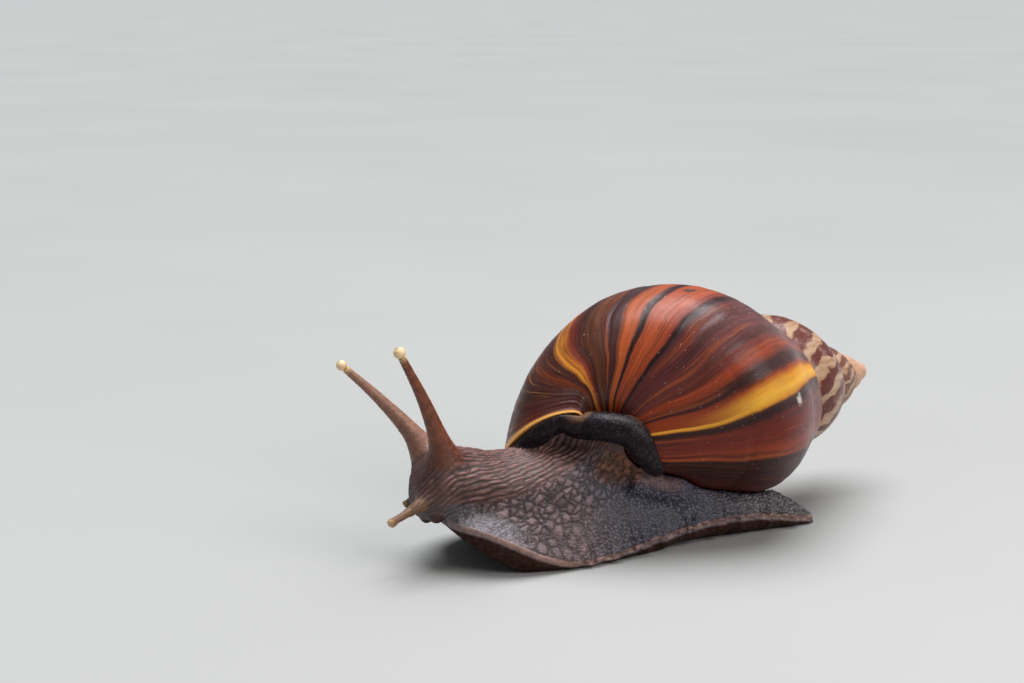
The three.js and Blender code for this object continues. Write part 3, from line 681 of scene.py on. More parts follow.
def foot_ring(x):
    """The foot's outline across at one x: sole, lifted edge and back, down both sides."""
    half = through(FOOT_HALF_WIDTHS, x)
    middle = through(FOOT_MIDLINE, x)
    sole = sole_height(x)
    tail = ease((x - TAIL_STARTS) / 12)
    flat = FLAT_SHARE - 0.3 * ease((x - TAIL_STARTS) / 8)
    breadth = BACK_BREADTH - 0.7 * tail
    skirt = BACK_HOLLOW - 0.35 * tail
    thick = MARGIN_THICKNESS * (1 - 0.5 * ease((x - 25) / 9))
    rings = []
    for side in (1, -1):
        out, up = margin_ripple(x, side)
        out = out * min(1, half / 4)
        level = max(0.3, through(MARGIN_HEIGHTS, x))
        margin = max(0.3, level + up * min(1, half / 4))
        back = max(level + thick + 0.4, through(BACK_HEIGHTS, x))
        row = [(flat * 0.5, sole), (flat, sole), (0.94, sole + 0.55 * max(0, margin - sole))]
        row.append((0.985, max(sole + 0.05, margin)))
        for turn in (-45, 0, 45):
            c, s = cos_sin(turn)
            row.append((1 - (1 - c) * 0.4 / half, margin + (1 + s) * thick / 2))
        for across in BACK_SECTION:
            low = mix(level, margin, ease((across - 0.78) / 0.2)) + thick
            row.append((across, low + (back - low) * (1 - across**breadth) ** skirt))
        for k, (across, z) in enumerate(row):
            carried = out * ease((across - 0.78) / 0.2)
            row[k] = (x, middle + side * (across * half + carried), z)
        rings.append(row)
    return [(x, middle, sole)] + rings[0] + [(x, middle, back)] + rings[1][::-1]


def neck_rings(count=80, sides=48):
    table = np.array(NECK_STATIONS, float)
    places = np.linspace(table[0, 0], table[-1, 0], count)
    columns = [through(table[:, [0, k]], places) for k in range(1, 6)]
    c, s = round_circle(sides)
    rings = []
    for x, y, z, half_width, half_height, square in zip(places, *columns):
        wide, tall = (np.sign(v) * np.abs(v) ** (2 / square) for v in (c, s))
        rings.append(np.stack([np.full(sides, x), y + half_width * wide, z + half_height * tall], -1))
    return rings


def collar_path(mouth_middle):
    """The collar's middle line: inside the lip, then over the shell's base beside the foot."""
    stations = []
    for angle in COLLAR_LIP_ANGLES:
        at = shell_point(0.0, float(angle))
        stations.append(deeper(at + unit(mouth_middle - at) * COLLAR_INSET, -COLLAR_PROUD))
    return smooth_path(stations + COLLAR_OVER_BASE, 240, closed=True)


def ring_form(path, radii):
    """A closed form round a closed path, such as the collar."""
    after = np.roll(path, -1, axis=0)
    flat = unit(np.cross(path - path.mean(0), after - path.mean(0)).mean(0))
    rings = circles(path, unit(after - np.roll(path, 1, axis=0)), flat, radii)
    index = np.arange(rings.shape[0] * rings.shape[1]).reshape(rings.shape[:2])
    return rings.reshape(-1, 3), None, bands(index, np.roll(index, -1, axis=0))


def mantle_form(path):
    """The flesh that rises into the shell's mouth, inside the collar."""
    edge = path[::4]
    middle = edge.mean(0)
    return loft([mix(middle, edge, share) + MANTLE_LEAN * drop for share, drop in MANTLE_LEVELS])


# ---- Flesh: distances on a block of cells ----

LATTICE = openvdb.createLinearTransform(voxelSize=VOXEL)
FIRST_CELL = np.round(BLOCK_LOW / VOXEL).astype(int)
BLOCK_SHAPE = tuple(np.round((BLOCK_HIGH - BLOCK_LOW) / VOXEL).astype(int))


def distances(form):
    """Distance from the form's surface at each cell, below zero inside."""
    points, triangles, quads = form
    grid = openvdb.FloatGrid.createLevelSetFromPolygons(
        np.ascontiguousarray(points, np.float32),
        triangles=None if triangles is None else np.ascontiguousarray(triangles, np.uint32),
        quads=None if quads is None else np.ascontiguousarray(quads, np.uint32),
        transform=LATTICE, halfWidth=float(BAND),
    )
    block = np.empty(BLOCK_SHAPE, np.float32)
    grid.copyToArray(block, ijk=tuple(int(v) for v in FIRST_CELL))
    return block


def union(a, b, blend):
    near = np.maximum(blend - np.abs(a - b), 0) / blend
    return np.minimum(a, b) - near * near * blend / 4


def sample(block, points):
    """The block's value at each point, between its cells."""
    places = np.clip(points / VOXEL - FIRST_CELL, 0, np.array(BLOCK_SHAPE) - 1.001)
    low = places.astype(int)
    total = np.zeros(len(points))
    for corner, share in corner_shares(places - low):
        at = low + corner
        total += share * block[at[:, 0], at[:, 1], at[:, 2]]
    return total


def fuller(knots):
    return [(place, radius + LATTICE_LOSS) for place, radius in knots]


def body_forms(mouth_middle):
    path = collar_path(mouth_middle)
    share = np.arange(len(path)) / len(path)
    thinned = 0.16 * bump(share, 0.28, 0.52) + 0.05 * bump(share, 0.54, 0.74)
    collar_radii = through(COLLAR_RADII, share) * (1 - thinned)
    xs = np.linspace(FOOT_FRONT, FOOT_BACK, 420)
    aside = np.array([0, 1.0, 0])
    upward = np.array([0, 0, 1.0])
    forms = {
        "foot": loft([foot_ring(x) for x in xs]),
        "neck": loft(neck_rings()),
        "mantle": mantle_form(path),
        "collar": ring_form(path, collar_radii),
        "fold": limb(FLANK_FOLD, FLANK_FOLD_RADII, aside),
    }
    for side, word in enumerate(("left", "right")):
        stations = [np.array(p, float) for p in UPPER_FEELERS[side]]
        back = unit(stations[2] - stations[3])
        stations[3] = stations[3] + back * EYE_RADIUS[side] * EYE_SEAT
        forms["upper_" + word] = limb(stations, fuller(UPPER_FEELER_RADII), aside)
        forms["lower_" + word] = limb(LOWER_FEELERS[side], fuller(LOWER_FEELER_RADII), upward)
        forms["lobe_" + word] = ball(*MOUTH_LOBES[side])
    return forms


def flesh_blocks(mouth_middle, shell_points, shell_faces):
    parts = {name: distances(form) for name, form in body_forms(mouth_middle).items()}
    along = (FIRST_CELL[0] + np.arange(BLOCK_SHAPE[0])) * VOXEL
    neck_blend = NECK_BLEND + NECK_BLEND_GROWS * ease((along + 26) / 7)
    body = union(parts["foot"], parts["neck"], neck_blend[:, None, None])
    for name, blend in BLENDS.items():
        body = union(body, parts[name], blend)
    parts["body"] = body
    skin = union(body, parts["collar"], COLLAR_BLEND)
    for stations, radius in zip(UPPER_FEELERS, EYE_RADIUS):
        skin = np.maximum(skin, -distances(ball(stations[3], [radius + EYE_GAP] * 3)))
    quads = np.vstack([f for f in shell_faces if f.shape[1] == 4])
    triangles = np.vstack([f for f in shell_faces if f.shape[1] == 3])
    parts["shell"] = distances((shell_points, triangles, quads))
    parts["skin"] = -union(-skin, parts["shell"] - SHELL_CLEARANCE, SHELL_BLEND)
    return parts


def surface_of(block):
    grid = openvdb.FloatGrid(float(BAND * VOXEL))
    grid.transform = LATTICE
    grid.copyFromArray(block, ijk=tuple(int(v) for v in FIRST_CELL))
    points, quads = grid.convertToQuads(0.0)
    return biggest_island(points.astype(float), quads.astype(np.int64))


def biggest_island(points, quads):
    """Drops slivers that a cut has left beside the main surface."""
    label = np.arange(len(points))
    a = quads.ravel()
    b = np.roll(quads, -1, axis=1).ravel()
    while True:
        low = np.minimum(label[a], label[b])
        np.minimum.at(label, a, low)
        np.minimum.at(label, b, low)
        label = label[label]
        if (label[a] == label[b]).all():
            break
    main = np.bincount(label).argmax()
    kept = label == main
    number = np.cumsum(kept) - 1
    return points[kept], number[quads[kept[quads[:, 0]]]]


# ---- Flesh: skin ----

def neck_rise(x):
    """How far the neck's ridges have climbed toward the shell."""
    return 6.1 * (np.maximum(0, x + 27) / 22.7) ** 1.7


def flow(points):
    """Places on the skin with the ridges' climb taken out."""
    x, y, z = points.T
    ahead = np.maximum(0, -25 - x)
    rise = np.minimum(neck_rise(x), 9) - 0.35 * ahead**1.2
    return np.stack([x, y, z - rise * ease((z - 1) / 6)], -1) + noise3(points, 3.2, 11) * 0.3


RIDGE_SPACINGS = (0.7, 0.52)       # plain, and where the ridges fork


def stripes(points):
    """Long wavy ridges that run along the neck, from 0 in the grooves to 1 on the tops."""
    x, y, z = points.T
    round_neck = 5.6 * np.arctan2(z - 10.0, -(y + 2.6))
    along = round_neck - np.minimum(neck_rise(x), 9) + 0.3 * np.maximum(0, -26 - x) ** 1.3
    along += 0.34 * noise(points, 2.6, 23) + 0.16 * noise(points * np.array([0.6, 1, 1]), 0.9, 24)
    wave, forks = (0.5 + 0.5 * np.cos(2 * np.pi * along / spacing) for spacing in RIDGE_SPACINGS)
    split = ease((noise(points, 3.4, 25) - 0.05) / 0.4)
    return mix(wave, forks, split) ** 0.6


def skin_zones(points, parts):
    """How far each kind of skin holds at each point, from 0 to 1, and the points as flow has them."""
    x, y, z = points.T
    near = {name: sample(parts[name], points) for name in parts if name != "skin"}
    upper, lower, lobes = (
        np.minimum(near[kind + "left"], near[kind + "right"]) for kind in ("upper_", "lower_", "lobe_")
    )
    away = np.minimum(near["neck"], near["foot"])
    edge = through(FOOT_HALF_WIDTHS, x) - np.abs(y - through(FOOT_MIDLINE, x))
    margin = through(MARGIN_HEIGHTS, x)
    band = ease((0.66 - np.abs(z - margin - 0.45 * MARGIN_THICKNESS)) / 0.3)
    collar = ease((near["body"] - near["collar"] + 0.15) / 0.3)
    flap = ease((-14.5 - x) / 5) * ease((4.4 - (edge - 0.2)) / 2.0) * ease((margin + 4.5 - z) / 1.5)
    swept = flow(points)
    ridge = ease((swept[:, 2] - 8.8) / 1.8) * ease((3.5 - x) / 4)
    cobble = (1 - ridge) * ease((8 - x) / 13) * ease((swept[:, 2] - 0.5) / 2.5) * (1 - 0.7 * flap)
    zones = {
        "collar": collar,
        "rim": ease((0.95 - edge) / 0.5) * (1 - collar) * band * ease((x + 28) / 0.8),
        "sole": ease((margin + 0.12 - z) / 0.4),
        "feeler": ease((away - upper + 0.7) / 1.6),
        "lower": ease((away - lower - 0.2) / 0.9),
        "lobe": ease((away - lobes + 0.35) / 0.5) * ease((1.2 - lobes) / 0.6),
        "flap": flap,
        "ridge": ridge,
        "cobble": cobble,
        "grain": (1 - ridge) * (1 - cobble),
        "face": ease((-27 - x) / 2.5),
    }
    return zones, swept


# Each kind of wrinkle's size along the body, across it and upward, its salt, and its depth.
SKIN_CELLS = {
    "ridge": ((2.3, 1.0, 1.0), 31), "cobble": ((1.5, 1.1, 1.1), 47), "grain": ((0.56, 0.48, 0.48), 61),
    "fine": ((0.42, 0.42, 0.42), 83), "lump": ((1.7, 1.7, 1.7), 97),
}
SKIN_DEPTHS = {"ridge": 0.27, "cobble": 0.42, "grain": 0.21}
COBBLE_WARP = 0.24
GRAIN_SHIFT = 0.2
FINE_DEPTH = 0.05
RIM_DEPTH = 0.45


def skin_relief(points, zones, swept):
    """Height of the skin's wrinkles, zero or below, and how high each place stands in them."""
    breaks, ridge_tag = pebbles(swept, *SKIN_CELLS["ridge"])
    ridges = stripes(points) * (0.32 + 0.68 * breaks)
    warped = swept + noise3(points, 1.1, 51) * COBBLE_WARP
    cobbles, cobble_tag = pebbles(warped, *SKIN_CELLS["cobble"])
    shifted = points + noise(points, 1.6, 5)[:, None] * GRAIN_SHIFT
    grains, grain_tag = pebbles(shifted, *SKIN_CELLS["grain"])
    fine, _ = pebbles(points, *SKIN_CELLS["fine"])
    lumps, _ = pebbles(points, *SKIN_CELLS["lump"])
    lumpy = zones["rim"] * ease((points[:, 0] + 16) / 8)
    smooth = np.clip(zones["feeler"] + zones["lobe"] + zones["sole"] + 0.9 * zones["rim"], 0, 1)
    rough = (1 - smooth) * (1 - zones["collar"])
    weights = {
        "ridge": rough * zones["ridge"] * (1 - 0.35 * zones["face"]),
        "cobble": rough * zones["cobble"],
        "grain": rough * zones["grain"] * (1 - 0.35 * zones["flap"]),
    }
    tops = {"ridge": ridges, "cobble": mix(cobbles, grains, 0.25), "grain": grains}
    height = sum(weights[k] * SKIN_DEPTHS[k] * (tops[k] - 1) for k in weights)
    plain = np.clip(1 - sum(weights.values()), 0, 1)
    height += plain * FINE_DEPTH * (fine - 1) * (1 - zones["sole"]) + lumpy * RIM_DEPTH * (lumps - 1)
    finest = mix(fine, 2.4 * lumps - 1.4, lumpy)
    relief = sum(weights[k] * tops[k] for k in weights) + plain * (0.75 + 0.25 * finest)
    tag = np.where(zones["cobble"] > 0.5, cobble_tag, grain_tag)
    tag = np.where(zones["ridge"] > 0.5, ridge_tag, tag)
    return height, relief, tag


# The yellow-brown patch under the collar.
AMBER_PLACE = (-1.5, -10.0, 13.8)
AMBER_SIZE = (4.6, 6.0, 3.0)
SKIN_COLOURS = {
    "neck": (0.16, 0.074, 0.062),
    "cobble": (0.15, 0.098, 0.098),
    "slate": (0.092, 0.084, 0.118),
    "flap": (0.165, 0.14, 0.155),
    "rim": (0.26, 0.152, 0.12),
    # sole: the underside and the wall under the foot's margin, a dark wet brown darkened further as
    # painted shade
    "sole": (0.032, 0.013, 0.009),
    "feeler": (0.15, 0.042, 0.018),
    "far_feeler": (0.215, 0.105, 0.07),
    "tip": (0.62, 0.41, 0.19),
    # face: the front of the head, darker than the neck as painted shade
    "face": (0.062, 0.03, 0.026),
    # collar: the mantle's own near-black skin, darkened further as painted shade under the shell's lip
    "collar": (0.007, 0.004, 0.006),
    "olive": (0.12, 0.056, 0.026),
    "amber": (0.27, 0.112, 0.06),
    "lobe": (0.036, 0.011, 0.007),
    "lower": (0.19, 0.095, 0.048),
    "root": (0.08, 0.024, 0.015),
    "tail": (0.15, 0.132, 0.14),
}


def skin_colour(points, zones, parts):
    """The skin's own colour at each point: layers of the named colours, each over the last."""
    x, y, z = points.T
    drift = noise(points, 4.0, 3) * 0.5 + noise(points, 1.5, 4) * 0.3
    patch = distance(points, AMBER_PLACE, AMBER_SIZE)
    far = ease((y + 3) / 3)
    layers = [
        ("cobble", ease((2 - x + 3 * drift) / 14)),
        ("tail", ease((x - 14 + 3 * drift) / 10)),
        ("neck", zones["ridge"] * ease((2 - x) / 6)),
        ("flap", zones["flap"]),
        # Painted shade on the front of the head.
        ("face", zones["face"] * 0.8),
        ("amber", ease((1.25 - patch + 0.3 * drift) / 0.8)),
        ("rim", zones["rim"] * (0.8 + 0.4 * drift)),
        # The sole's colour: dark wet brown, darkened further as painted shade under the foot.
        ("sole", zones["sole"]),
        ("feeler", zones["feeler"] * (1 - far)),
        ("far_feeler", zones["feeler"] * far),
        ("root", zones["feeler"] * ease((20.5 - z + drift) / 5) * (1 - 0.6 * far)),
        ("lobe", zones["lobe"]),
        ("lower", zones["lower"] * 0.85),
    ]
    for feelers, reach in ((UPPER_FEELERS, 1.9), (LOWER_FEELERS, 1.2)):
        for stations in feelers:
            layers.append(("tip", ease((reach - distance(points, stations[-1])) / 1.1)))
    outer = ease((2.0 - sample(parts["shell"], points)) / 0.8)
    outer = outer * ease((x + 9.5) / 3) * ease((z - 16) / 1.5)
    # The collar: its own near-black skin, darkened further as painted shade.
    layers.append(("collar", zones["collar"]))
    layers.append(("olive", zones["collar"] * outer * ease((1.5 - x) / 2) * (0.85 + 0.5 * drift)))
    colour = np.broadcast_to(np.array(SKIN_COLOURS["slate"]), points.shape)
    for name, share in layers:
        colour = mix(colour, np.array(SKIN_COLOURS[name]), clamp01(share)[:, None])
    return colour


def build_skin(mouth_middle, shell_points, shell_faces):
    parts = flesh_blocks(mouth_middle, shell_points, shell_faces)
    points, quads = surface_of(parts["skin"])
    piece = new_object("snail_skin", points, [quads])
    finer = piece.modifiers.new("finer", "SUBSURF")
    finer.levels = 1
    bpy.context.view_layer.objects.active = piece
    piece.select_set(True)
    bpy.ops.object.modifier_apply(modifier=finer.name)
    mesh = piece.data
    points = read(mesh, "co") / MM + CENTRE
    zones, swept = skin_zones(points, parts)
    height, relief, tag = skin_relief(points, zones, swept)
    # How high each place stands in the wrinkles; the skin material paints shade in the grooves and a
    # highlight on the tops from it.
    give(mesh, "relief", relief)
    give(mesh, "tag", tag)
    give(mesh, "wet", np.clip(0.2 + 0.6 * zones["collar"] + 0.3 * zones["rim"], 0, 1))
    give(mesh, "shine", 1 - 0.85 * zones["sole"] - 0.55 * zones["collar"])
    give(mesh, "tint", skin_colour(points, zones, parts))
    moved = points + read(mesh, "normal") * height[:, None]
    moved[:, 2] = np.maximum(moved[:, 2], 0.0)
    move_points(mesh, moved)
    mesh.polygons.foreach_set("use_smooth", np.ones(len(mesh.polygons), bool))
    return piece


# ---- Eyes ----

def build_eye(side, word):
    """A feeler's bulb: a slightly drawn-out ball with a faint dark eye under its skin."""
    centre = np.array(UPPER_FEELERS[side][3], float)
    back = unit(np.array(UPPER_FEELERS[side][2], float) - centre)
    points, triangles, quads = ball((0, 0, 0), (1, 1, 1), 40, 64)
    along = points @ back
    swollen = EYE_RADIUS[side] * (1 - 0.05 * ease(along) + 0.012 * noise(points + 9, 0.5, 71))
    places = centre + points * swollen[:, None]
    piece = new_object("snail_eye_" + word, places, [triangles, quads])
    spot = unit(-back + np.array([-0.1, 0, 0.35]))
    give(piece.data, "spot", ease((points @ spot - 0.86) / 0.12))
    give(piece.data, "root", ease((along - 0.2) / 0.7))
    return piece


# ---- Materials ----

class Shader:
    """Short names for building one node material."""

    def __init__(self, name):
        self.material = bpy.data.materials.new(name)
        self.material.use_nodes = True
        self.tree = self.material.node_tree
        self.surface = self.tree.nodes["Principled BSDF"]

    def set(self, socket, value):
        if isinstance(value, bpy.types.NodeSocket):
            self.tree.links.new(value, socket)
        else:
            socket.default_value = value

    def add(self, kind, output, inputs, **settings):
        """Adds a node with its settings and inputs, and gives one of its outputs."""
        made = self.tree.nodes.new("ShaderNode" + kind)
        for key, value in settings.items():
            setattr(made, key, value)
        for key, value in inputs.items():
            self.set(made.inputs[key], value)
        return made.outputs[output]

    def attribute(self, name, output="Fac"):
        return self.add("Attribute", output, {}, attribute_name=name)

    def place(self):
        return self.add("TexCoord", "Object", {})

    def math(self, operation, *values):
        return self.add("Math", 0, dict(enumerate(values)), operation=operation)

    def times(self, first, *others):
        for value in others:
            first = self.math("MULTIPLY", first, value)
        return first

    def plus(self, first, second):
        return self.math("ADD", first, second)

    def minus(self, first, second):
        return self.math("SUBTRACT", first, second)

    def vector(self, x, y, z=0.0):
        return self.add("CombineXYZ", 0, {"X": x, "Y": y, "Z": z})

    def noise(self, vector, scale=1.0, detail=4.0, roughness=0.55):
        inputs = {"Vector": vector, "Scale": scale, "Detail": detail, "Roughness": roughness}
        return self.add("TexNoise", "Fac", inputs)

    def cells(self, vector, scale, feature="DISTANCE_TO_EDGE"):
        return self.add("TexVoronoi", "Distance", {"Vector": vector, "Scale": scale}, feature=feature)

    def range(self, value, low, high, to_low=0.0, to_high=1.0, kind="SMOOTHSTEP"):
        """Carries low to high over to to_low to to_high, and holds the ends."""
        inputs = dict(enumerate((value, low, high, to_low, to_high)))
        return self.add("MapRange", "Result", inputs, interpolation_type=kind)

    def ramp(self, value, stops):
        made = self.tree.nodes.new("ShaderNodeValToRGB")
        self.set(made.inputs[0], value)
        elements = made.color_ramp.elements
        while len(elements) < len(stops):
            elements.new(0.5)
        for element, (place, colour) in zip(elements, stops):
            element.position = place
            element.color = (*colour, 1.0)
        return made.outputs["Color"]

    def blend(self, share, first, second, mode="MIX"):
        made = self.tree.nodes.new("ShaderNodeMix")
        made.data_type, made.blend_type, made.clamp_factor = "RGBA", mode, True
        self.set(made.inputs["Factor"], share)
        for key, value in (("A", first), ("B", second)):
            socket = next(s for s in made.inputs if s.name == key and s.type == "RGBA")
            self.set(socket, (*value, 1.0) if isinstance(value, tuple) else value)
        return next(s for s in made.outputs if s.type == "RGBA")

    def layers(self, colour, *layers):
        """Colours laid one over another, each by its share."""
        for share, tint in layers:
            colour = self.blend(share, colour, tint)
        return colour

    def bump(self, height, strength, distance, under=None):
        inputs = {"Strength": strength, "Distance": distance * MM, "Height": height}
        if under is not None:
            inputs["Normal"] = under
        return self.add("Bump", "Normal", inputs)

    def finish(self, **values):
        for key, value in values.items():
            self.set(self.surface.inputs[key.replace("_", " ")], value)
        return self.material


# The shell's bands from the newest back: degrees back from the lip, and the colour there. They
# are in two lists because one ramp holds no more than 32 stops.
BANDS_MEET = 150
FRONT_BANDS = [
    (0, (0.3, 0.13, 0.04)), (3, (0.075, 0.014, 0.007)), (14, (0.06, 0.01, 0.006)),
    (34, (0.035, 0.01, 0.007)), (48, (0.085, 0.016, 0.008)), (60, (0.045, 0.01, 0.007)),
    (63.5, (0.55, 0.2, 0.022)), (67.5, (0.5, 0.15, 0.018)), (70, (0.15, 0.019, 0.007)),
    (77, (0.022, 0.007, 0.006)), (84, (0.15, 0.047, 0.017)), (90, (0.04, 0.012, 0.012)),
    (97, (0.05, 0.015, 0.014)), (100.5, (0.375, 0.078, 0.018)), (105.5, (0.312, 0.062, 0.018)),
    (107.4, (0.012, 0.005, 0.006)), (109.2, (0.014, 0.006, 0.007)), (111, (0.3, 0.049, 0.014)),
    (120, (0.338, 0.062, 0.017)), (124.5, (0.2, 0.027, 0.012)), (126.4, (0.014, 0.005, 0.006)),
    (127.8, (0.016, 0.006, 0.007)), (130, (0.081, 0.018, 0.017)), (150, (0.094, 0.023, 0.019)),
]
BACK_BANDS = [
    (150, (0.094, 0.023, 0.019)), (156, (0.125, 0.023, 0.013)), (161, (0.288, 0.042, 0.012)),
    (165, (0.05, 0.011, 0.008)), (168.5, (0.024, 0.008, 0.009)), (171, (0.075, 0.011, 0.005)),
    (173.3, (0.34, 0.064, 0.009)), (176.5, (0.66, 0.29, 0.025)), (181.5, (0.76, 0.4, 0.04)),
    (184.6, (0.6, 0.24, 0.018)), (186.2, (0.035, 0.008, 0.005)), (190, (0.02, 0.005, 0.004)),
    (193, (0.11, 0.011, 0.005)), (205, (0.15, 0.016, 0.006)), (213, (0.25, 0.036, 0.009)),
    (217.5, (0.28, 0.053, 0.011)), (219.4, (0.026, 0.007, 0.005)), (240, (0.04, 0.01, 0.007)),
    (268, (0.12, 0.018, 0.008)), (290, (0.04, 0.011, 0.008)), (315, (0.22, 0.04, 0.013)),
    (335, (0.06, 0.011, 0.009)), (360, (0.11, 0.021, 0.011)),
]


def shell_material():
    s = Shader("snail_shell")
    growth = s.attribute("growth")
    height = s.attribute("height")
    place = s.place()
    drawn = growth

    def streaks(across, along, salt, detail=3.0, rough=0.55):
        """Noise drawn out along the growth lines: so many streaks a turn, so many along a line."""
        at = s.vector(s.times(drawn, across), s.times(height, along), salt)
        return s.noise(at, 1.0, detail, rough)

    def mark(centre, wide, soft):
        """1 within a mark of growth, falling off at both its edges; in degrees."""
        away = s.math("ABSOLUTE", s.plus(drawn, centre / 360))
        return s.range(away, wide / 360, (wide + soft) / 360, 1.0, 0.0)

    def banded(start, end, stops):
        along = s.range(drawn, -start / 360, -end / 360, kind="LINEAR")
        return s.ramp(along, [((degrees - start) / (end - start), colour) for degrees, colour in stops])

    # From here on, growth wavers a little, so that no streak is drawn with a ruler.
    drawn = s.plus(growth, s.times(s.minus(streaks(16.0, 4.5, 3.0, 5.0), 0.5), 0.011))
    newer = banded(0, BANDS_MEET, FRONT_BANDS)
    older = banded(BANDS_MEET, 360, BACK_BANDS)
    colour = s.blend(s.math("LESS_THAN", drawn, -BANDS_MEET / 360), newer, older)

    # Streaks over the bands, calmer on the yellow band, and a painted grey sheen on the upper side:
    # painted reflection of the sky, in patches.
    tongue = s.times(mark(176.5, 5.4, 1.6), s.range(height, 0.05, -0.42))
    calm = s.minus(1.0, s.times(mark(180, 5.0, 3.0), 0.75))
    wide = streaks(58.0, 0.9, 7.0, 4.0)
    thread = streaks(330.0, 1.5, 1.0)
    pale = streaks(420.0, 2.2, 9.0, 4.0, 0.7)
    golden = s.times(s.range(streaks(190.0, 1.3, 12.0), 0.6, 0.68), s.range(growth, -0.26, -0.04))
    # Painted sheen: grey patches that grow toward the upper side of the whorl, and a paler painted
    # sheen high on the whorl, away from the lip.
    painted_top_sheen = s.times(s.range(s.noise(place, 95.0, 4.0), 0.4, 0.62), s.range(height, -0.2, 0.6))
    painted_sky_sheen = s.times(s.range(height, 0.1, 0.8, 0.0, 0.4), s.range(growth, -0.28, -0.45))
    painted_sky_sheen = s.times(painted_sky_sheen, s.range(s.noise(place, 160.0, 4.0), 0.35, 0.6, 0.55, 1.0))
    side = s.times(s.range(growth, -0.2, -0.34), s.range(growth, -0.92, -0.8))
    seam = s.times(s.range(height, 1.03, 1.08), s.range(side, 0.0, 1.0, 0.1, 0.8))
    seam = s.times(seam, s.range(growth, -1.02, -0.98))
    colour = s.layers(
        colour,
        (s.times(s.range(wide, 0.54, 0.64, 0.0, 0.52), calm), (0.018, 0.006, 0.006)),
        (s.times(s.range(wide, 0.44, 0.33, 0.0, 0.5), calm), (0.3, 0.062, 0.012)),
        (s.times(s.range(thread, 0.5, 0.66, 0.0, 0.5), calm), (0.02, 0.007, 0.006)),
        (s.range(pale, 0.6, 0.74, 0.0, 0.26), (0.24, 0.11, 0.075)),
        (s.times(golden, 0.6), (0.48, 0.19, 0.035)),
        # The two painted sheens: the grey patches, then the paler sheen higher up.
        (s.times(painted_top_sheen, 0.24), (0.17, 0.095, 0.1)),
        (s.times(painted_sky_sheen, calm), (0.3, 0.235, 0.24)),
        (tongue, (0.2, 0.03, 0.007)),
        (seam, (0.42, 0.17, 0.025)),
    )

    # The spire: ragged slanting flames of cream and red-brown, worn paler toward the apex.
    cream = s.ramp(streaks(70.0, 2.0, 21.0), [(0.35, (0.3, 0.16, 0.09)), (0.65, (0.46, 0.31, 0.2))])
    slant = s.minus(s.times(growth, 18.0), s.times(height, 1.25))
    slant = s.plus(slant, s.times(streaks(12.0, 1.6, 5.0, 2.0), 1.7))
    flame = s.plus(s.math("PINGPONG", slant, 0.5), s.times(streaks(90.0, 4.0, 8.0), 0.22))
    flames = s.times(s.range(flame, 0.27, 0.38), s.range(growth, -3.6, -2.0, 0.25, 0.95))
    old = s.layers(
        cream,
        (flames, (0.095, 0.018, 0.016)),
        (s.range(thread, 0.5, 0.7, 0.0, 0.4), (0.12, 0.045, 0.028)),
        (s.range(s.noise(place, 330.0, 5.0, 0.65), 0.48, 0.7, 0.0, 0.4), (0.44, 0.33, 0.29)),
        (s.range(height, 0.92, 1.06, 0.0, 0.75), (0.085, 0.035, 0.026)),
        (s.range(growth, -2.7, -3.9, 0.0, 0.8), (0.6, 0.33, 0.22)),
    )

    # Then the lip's golden edge, the inside of the mouth, specks, nicks and the worn places.
    specks = s.range(s.cells(place, 700.0, "F1"), 0.04, 0.09, 1.0, 0.0)
    nicks = s.range(streaks(260.0, 30.0, 17.0, 2.0), 0.7, 0.75)
    colour = s.layers(
        colour,
        (s.range(growth, -1.0, -1.16), old),
        (s.range(growth, -0.017, -0.007), (0.6, 0.29, 0.07)),
        (s.range(growth, 0.006, 0.018), (0.3, 0.27, 0.32)),
        (s.times(specks, 0.45), (0.36, 0.24, 0.19)),
        (s.times(nicks, 0.55), (0.5, 0.38, 0.32)),
        (s.attribute("chip"), (0.48, 0.45, 0.4)),
        (s.attribute("scar"), (0.045, 0.03, 0.022)),
    )
    normal = s.bump(streaks(520.0, 2.4, 2.0, 3.0, 0.7), 0.55, 0.06)
    normal = s.bump(s.noise(place, 900.0, 4.0, 0.6), 0.3, 0.03, normal)
    rough = s.range(s.noise(place, 380.0, 4.0), 0.35, 0.7, 0.32, 0.52)
    return s.finish(
        Base_Color=colour, Roughness=rough, Normal=normal, Coat_Weight=0.1, Coat_Roughness=0.18,
        Specular_IOR_Level=0.16,
    )


def skin_material():
    s = Shader("snail_skin")
    relief = s.attribute("relief")
    place = s.place()
    grain = s.noise(place, 1500.0, 4.0, 0.6)
    cells = s.cells(place, 2300.0)
    # Painted shade: the skin darkened in the grooves of its wrinkles by the relief, times real tone
    # that changes from cell to cell and with the grain, and a little darker at the edges of fine cells.
    painted_shade_and_tone = s.times(
        s.range(relief, 0.0, 0.8, 0.22, 1.04), s.range(s.attribute("tag"), 0.0, 1.0, 0.84, 1.16),
        s.range(grain, 0.3, 0.7, 0.84, 1.16), s.range(cells, 0.0, 0.25, 0.88, 1.03),
    )
    colour = s.blend(1.0, s.attribute("tint", "Color"), s.vector(painted_shade_and_tone, painted_shade_and_tone, painted_shade_and_tone), "MULTIPLY")
    # Painted highlight: a pale grey-pink laid on the tops of the wrinkles, in patches of the grain.
    tops = s.times(s.range(relief, 0.8, 1.0), s.range(grain, 0.42, 0.65, 0.0, 0.2))
    shine = s.attribute("shine")
    return s.finish(
        Base_Color=s.blend(tops, colour, (0.24, 0.19, 0.19)),
        Roughness=s.minus(s.range(grain, 0.3, 0.7, 0.44, 0.62), s.times(s.attribute("wet"), 0.1)),
        Normal=s.bump(grain, 0.35, 0.05, s.bump(cells, 0.3, 0.05)),
        Coat_Weight=s.times(shine, 0.08), Coat_Roughness=0.3, Subsurface_Weight=0.05,
        Subsurface_Scale=0.0007, Specular_IOR_Level=s.times(shine, 0.3),
    )


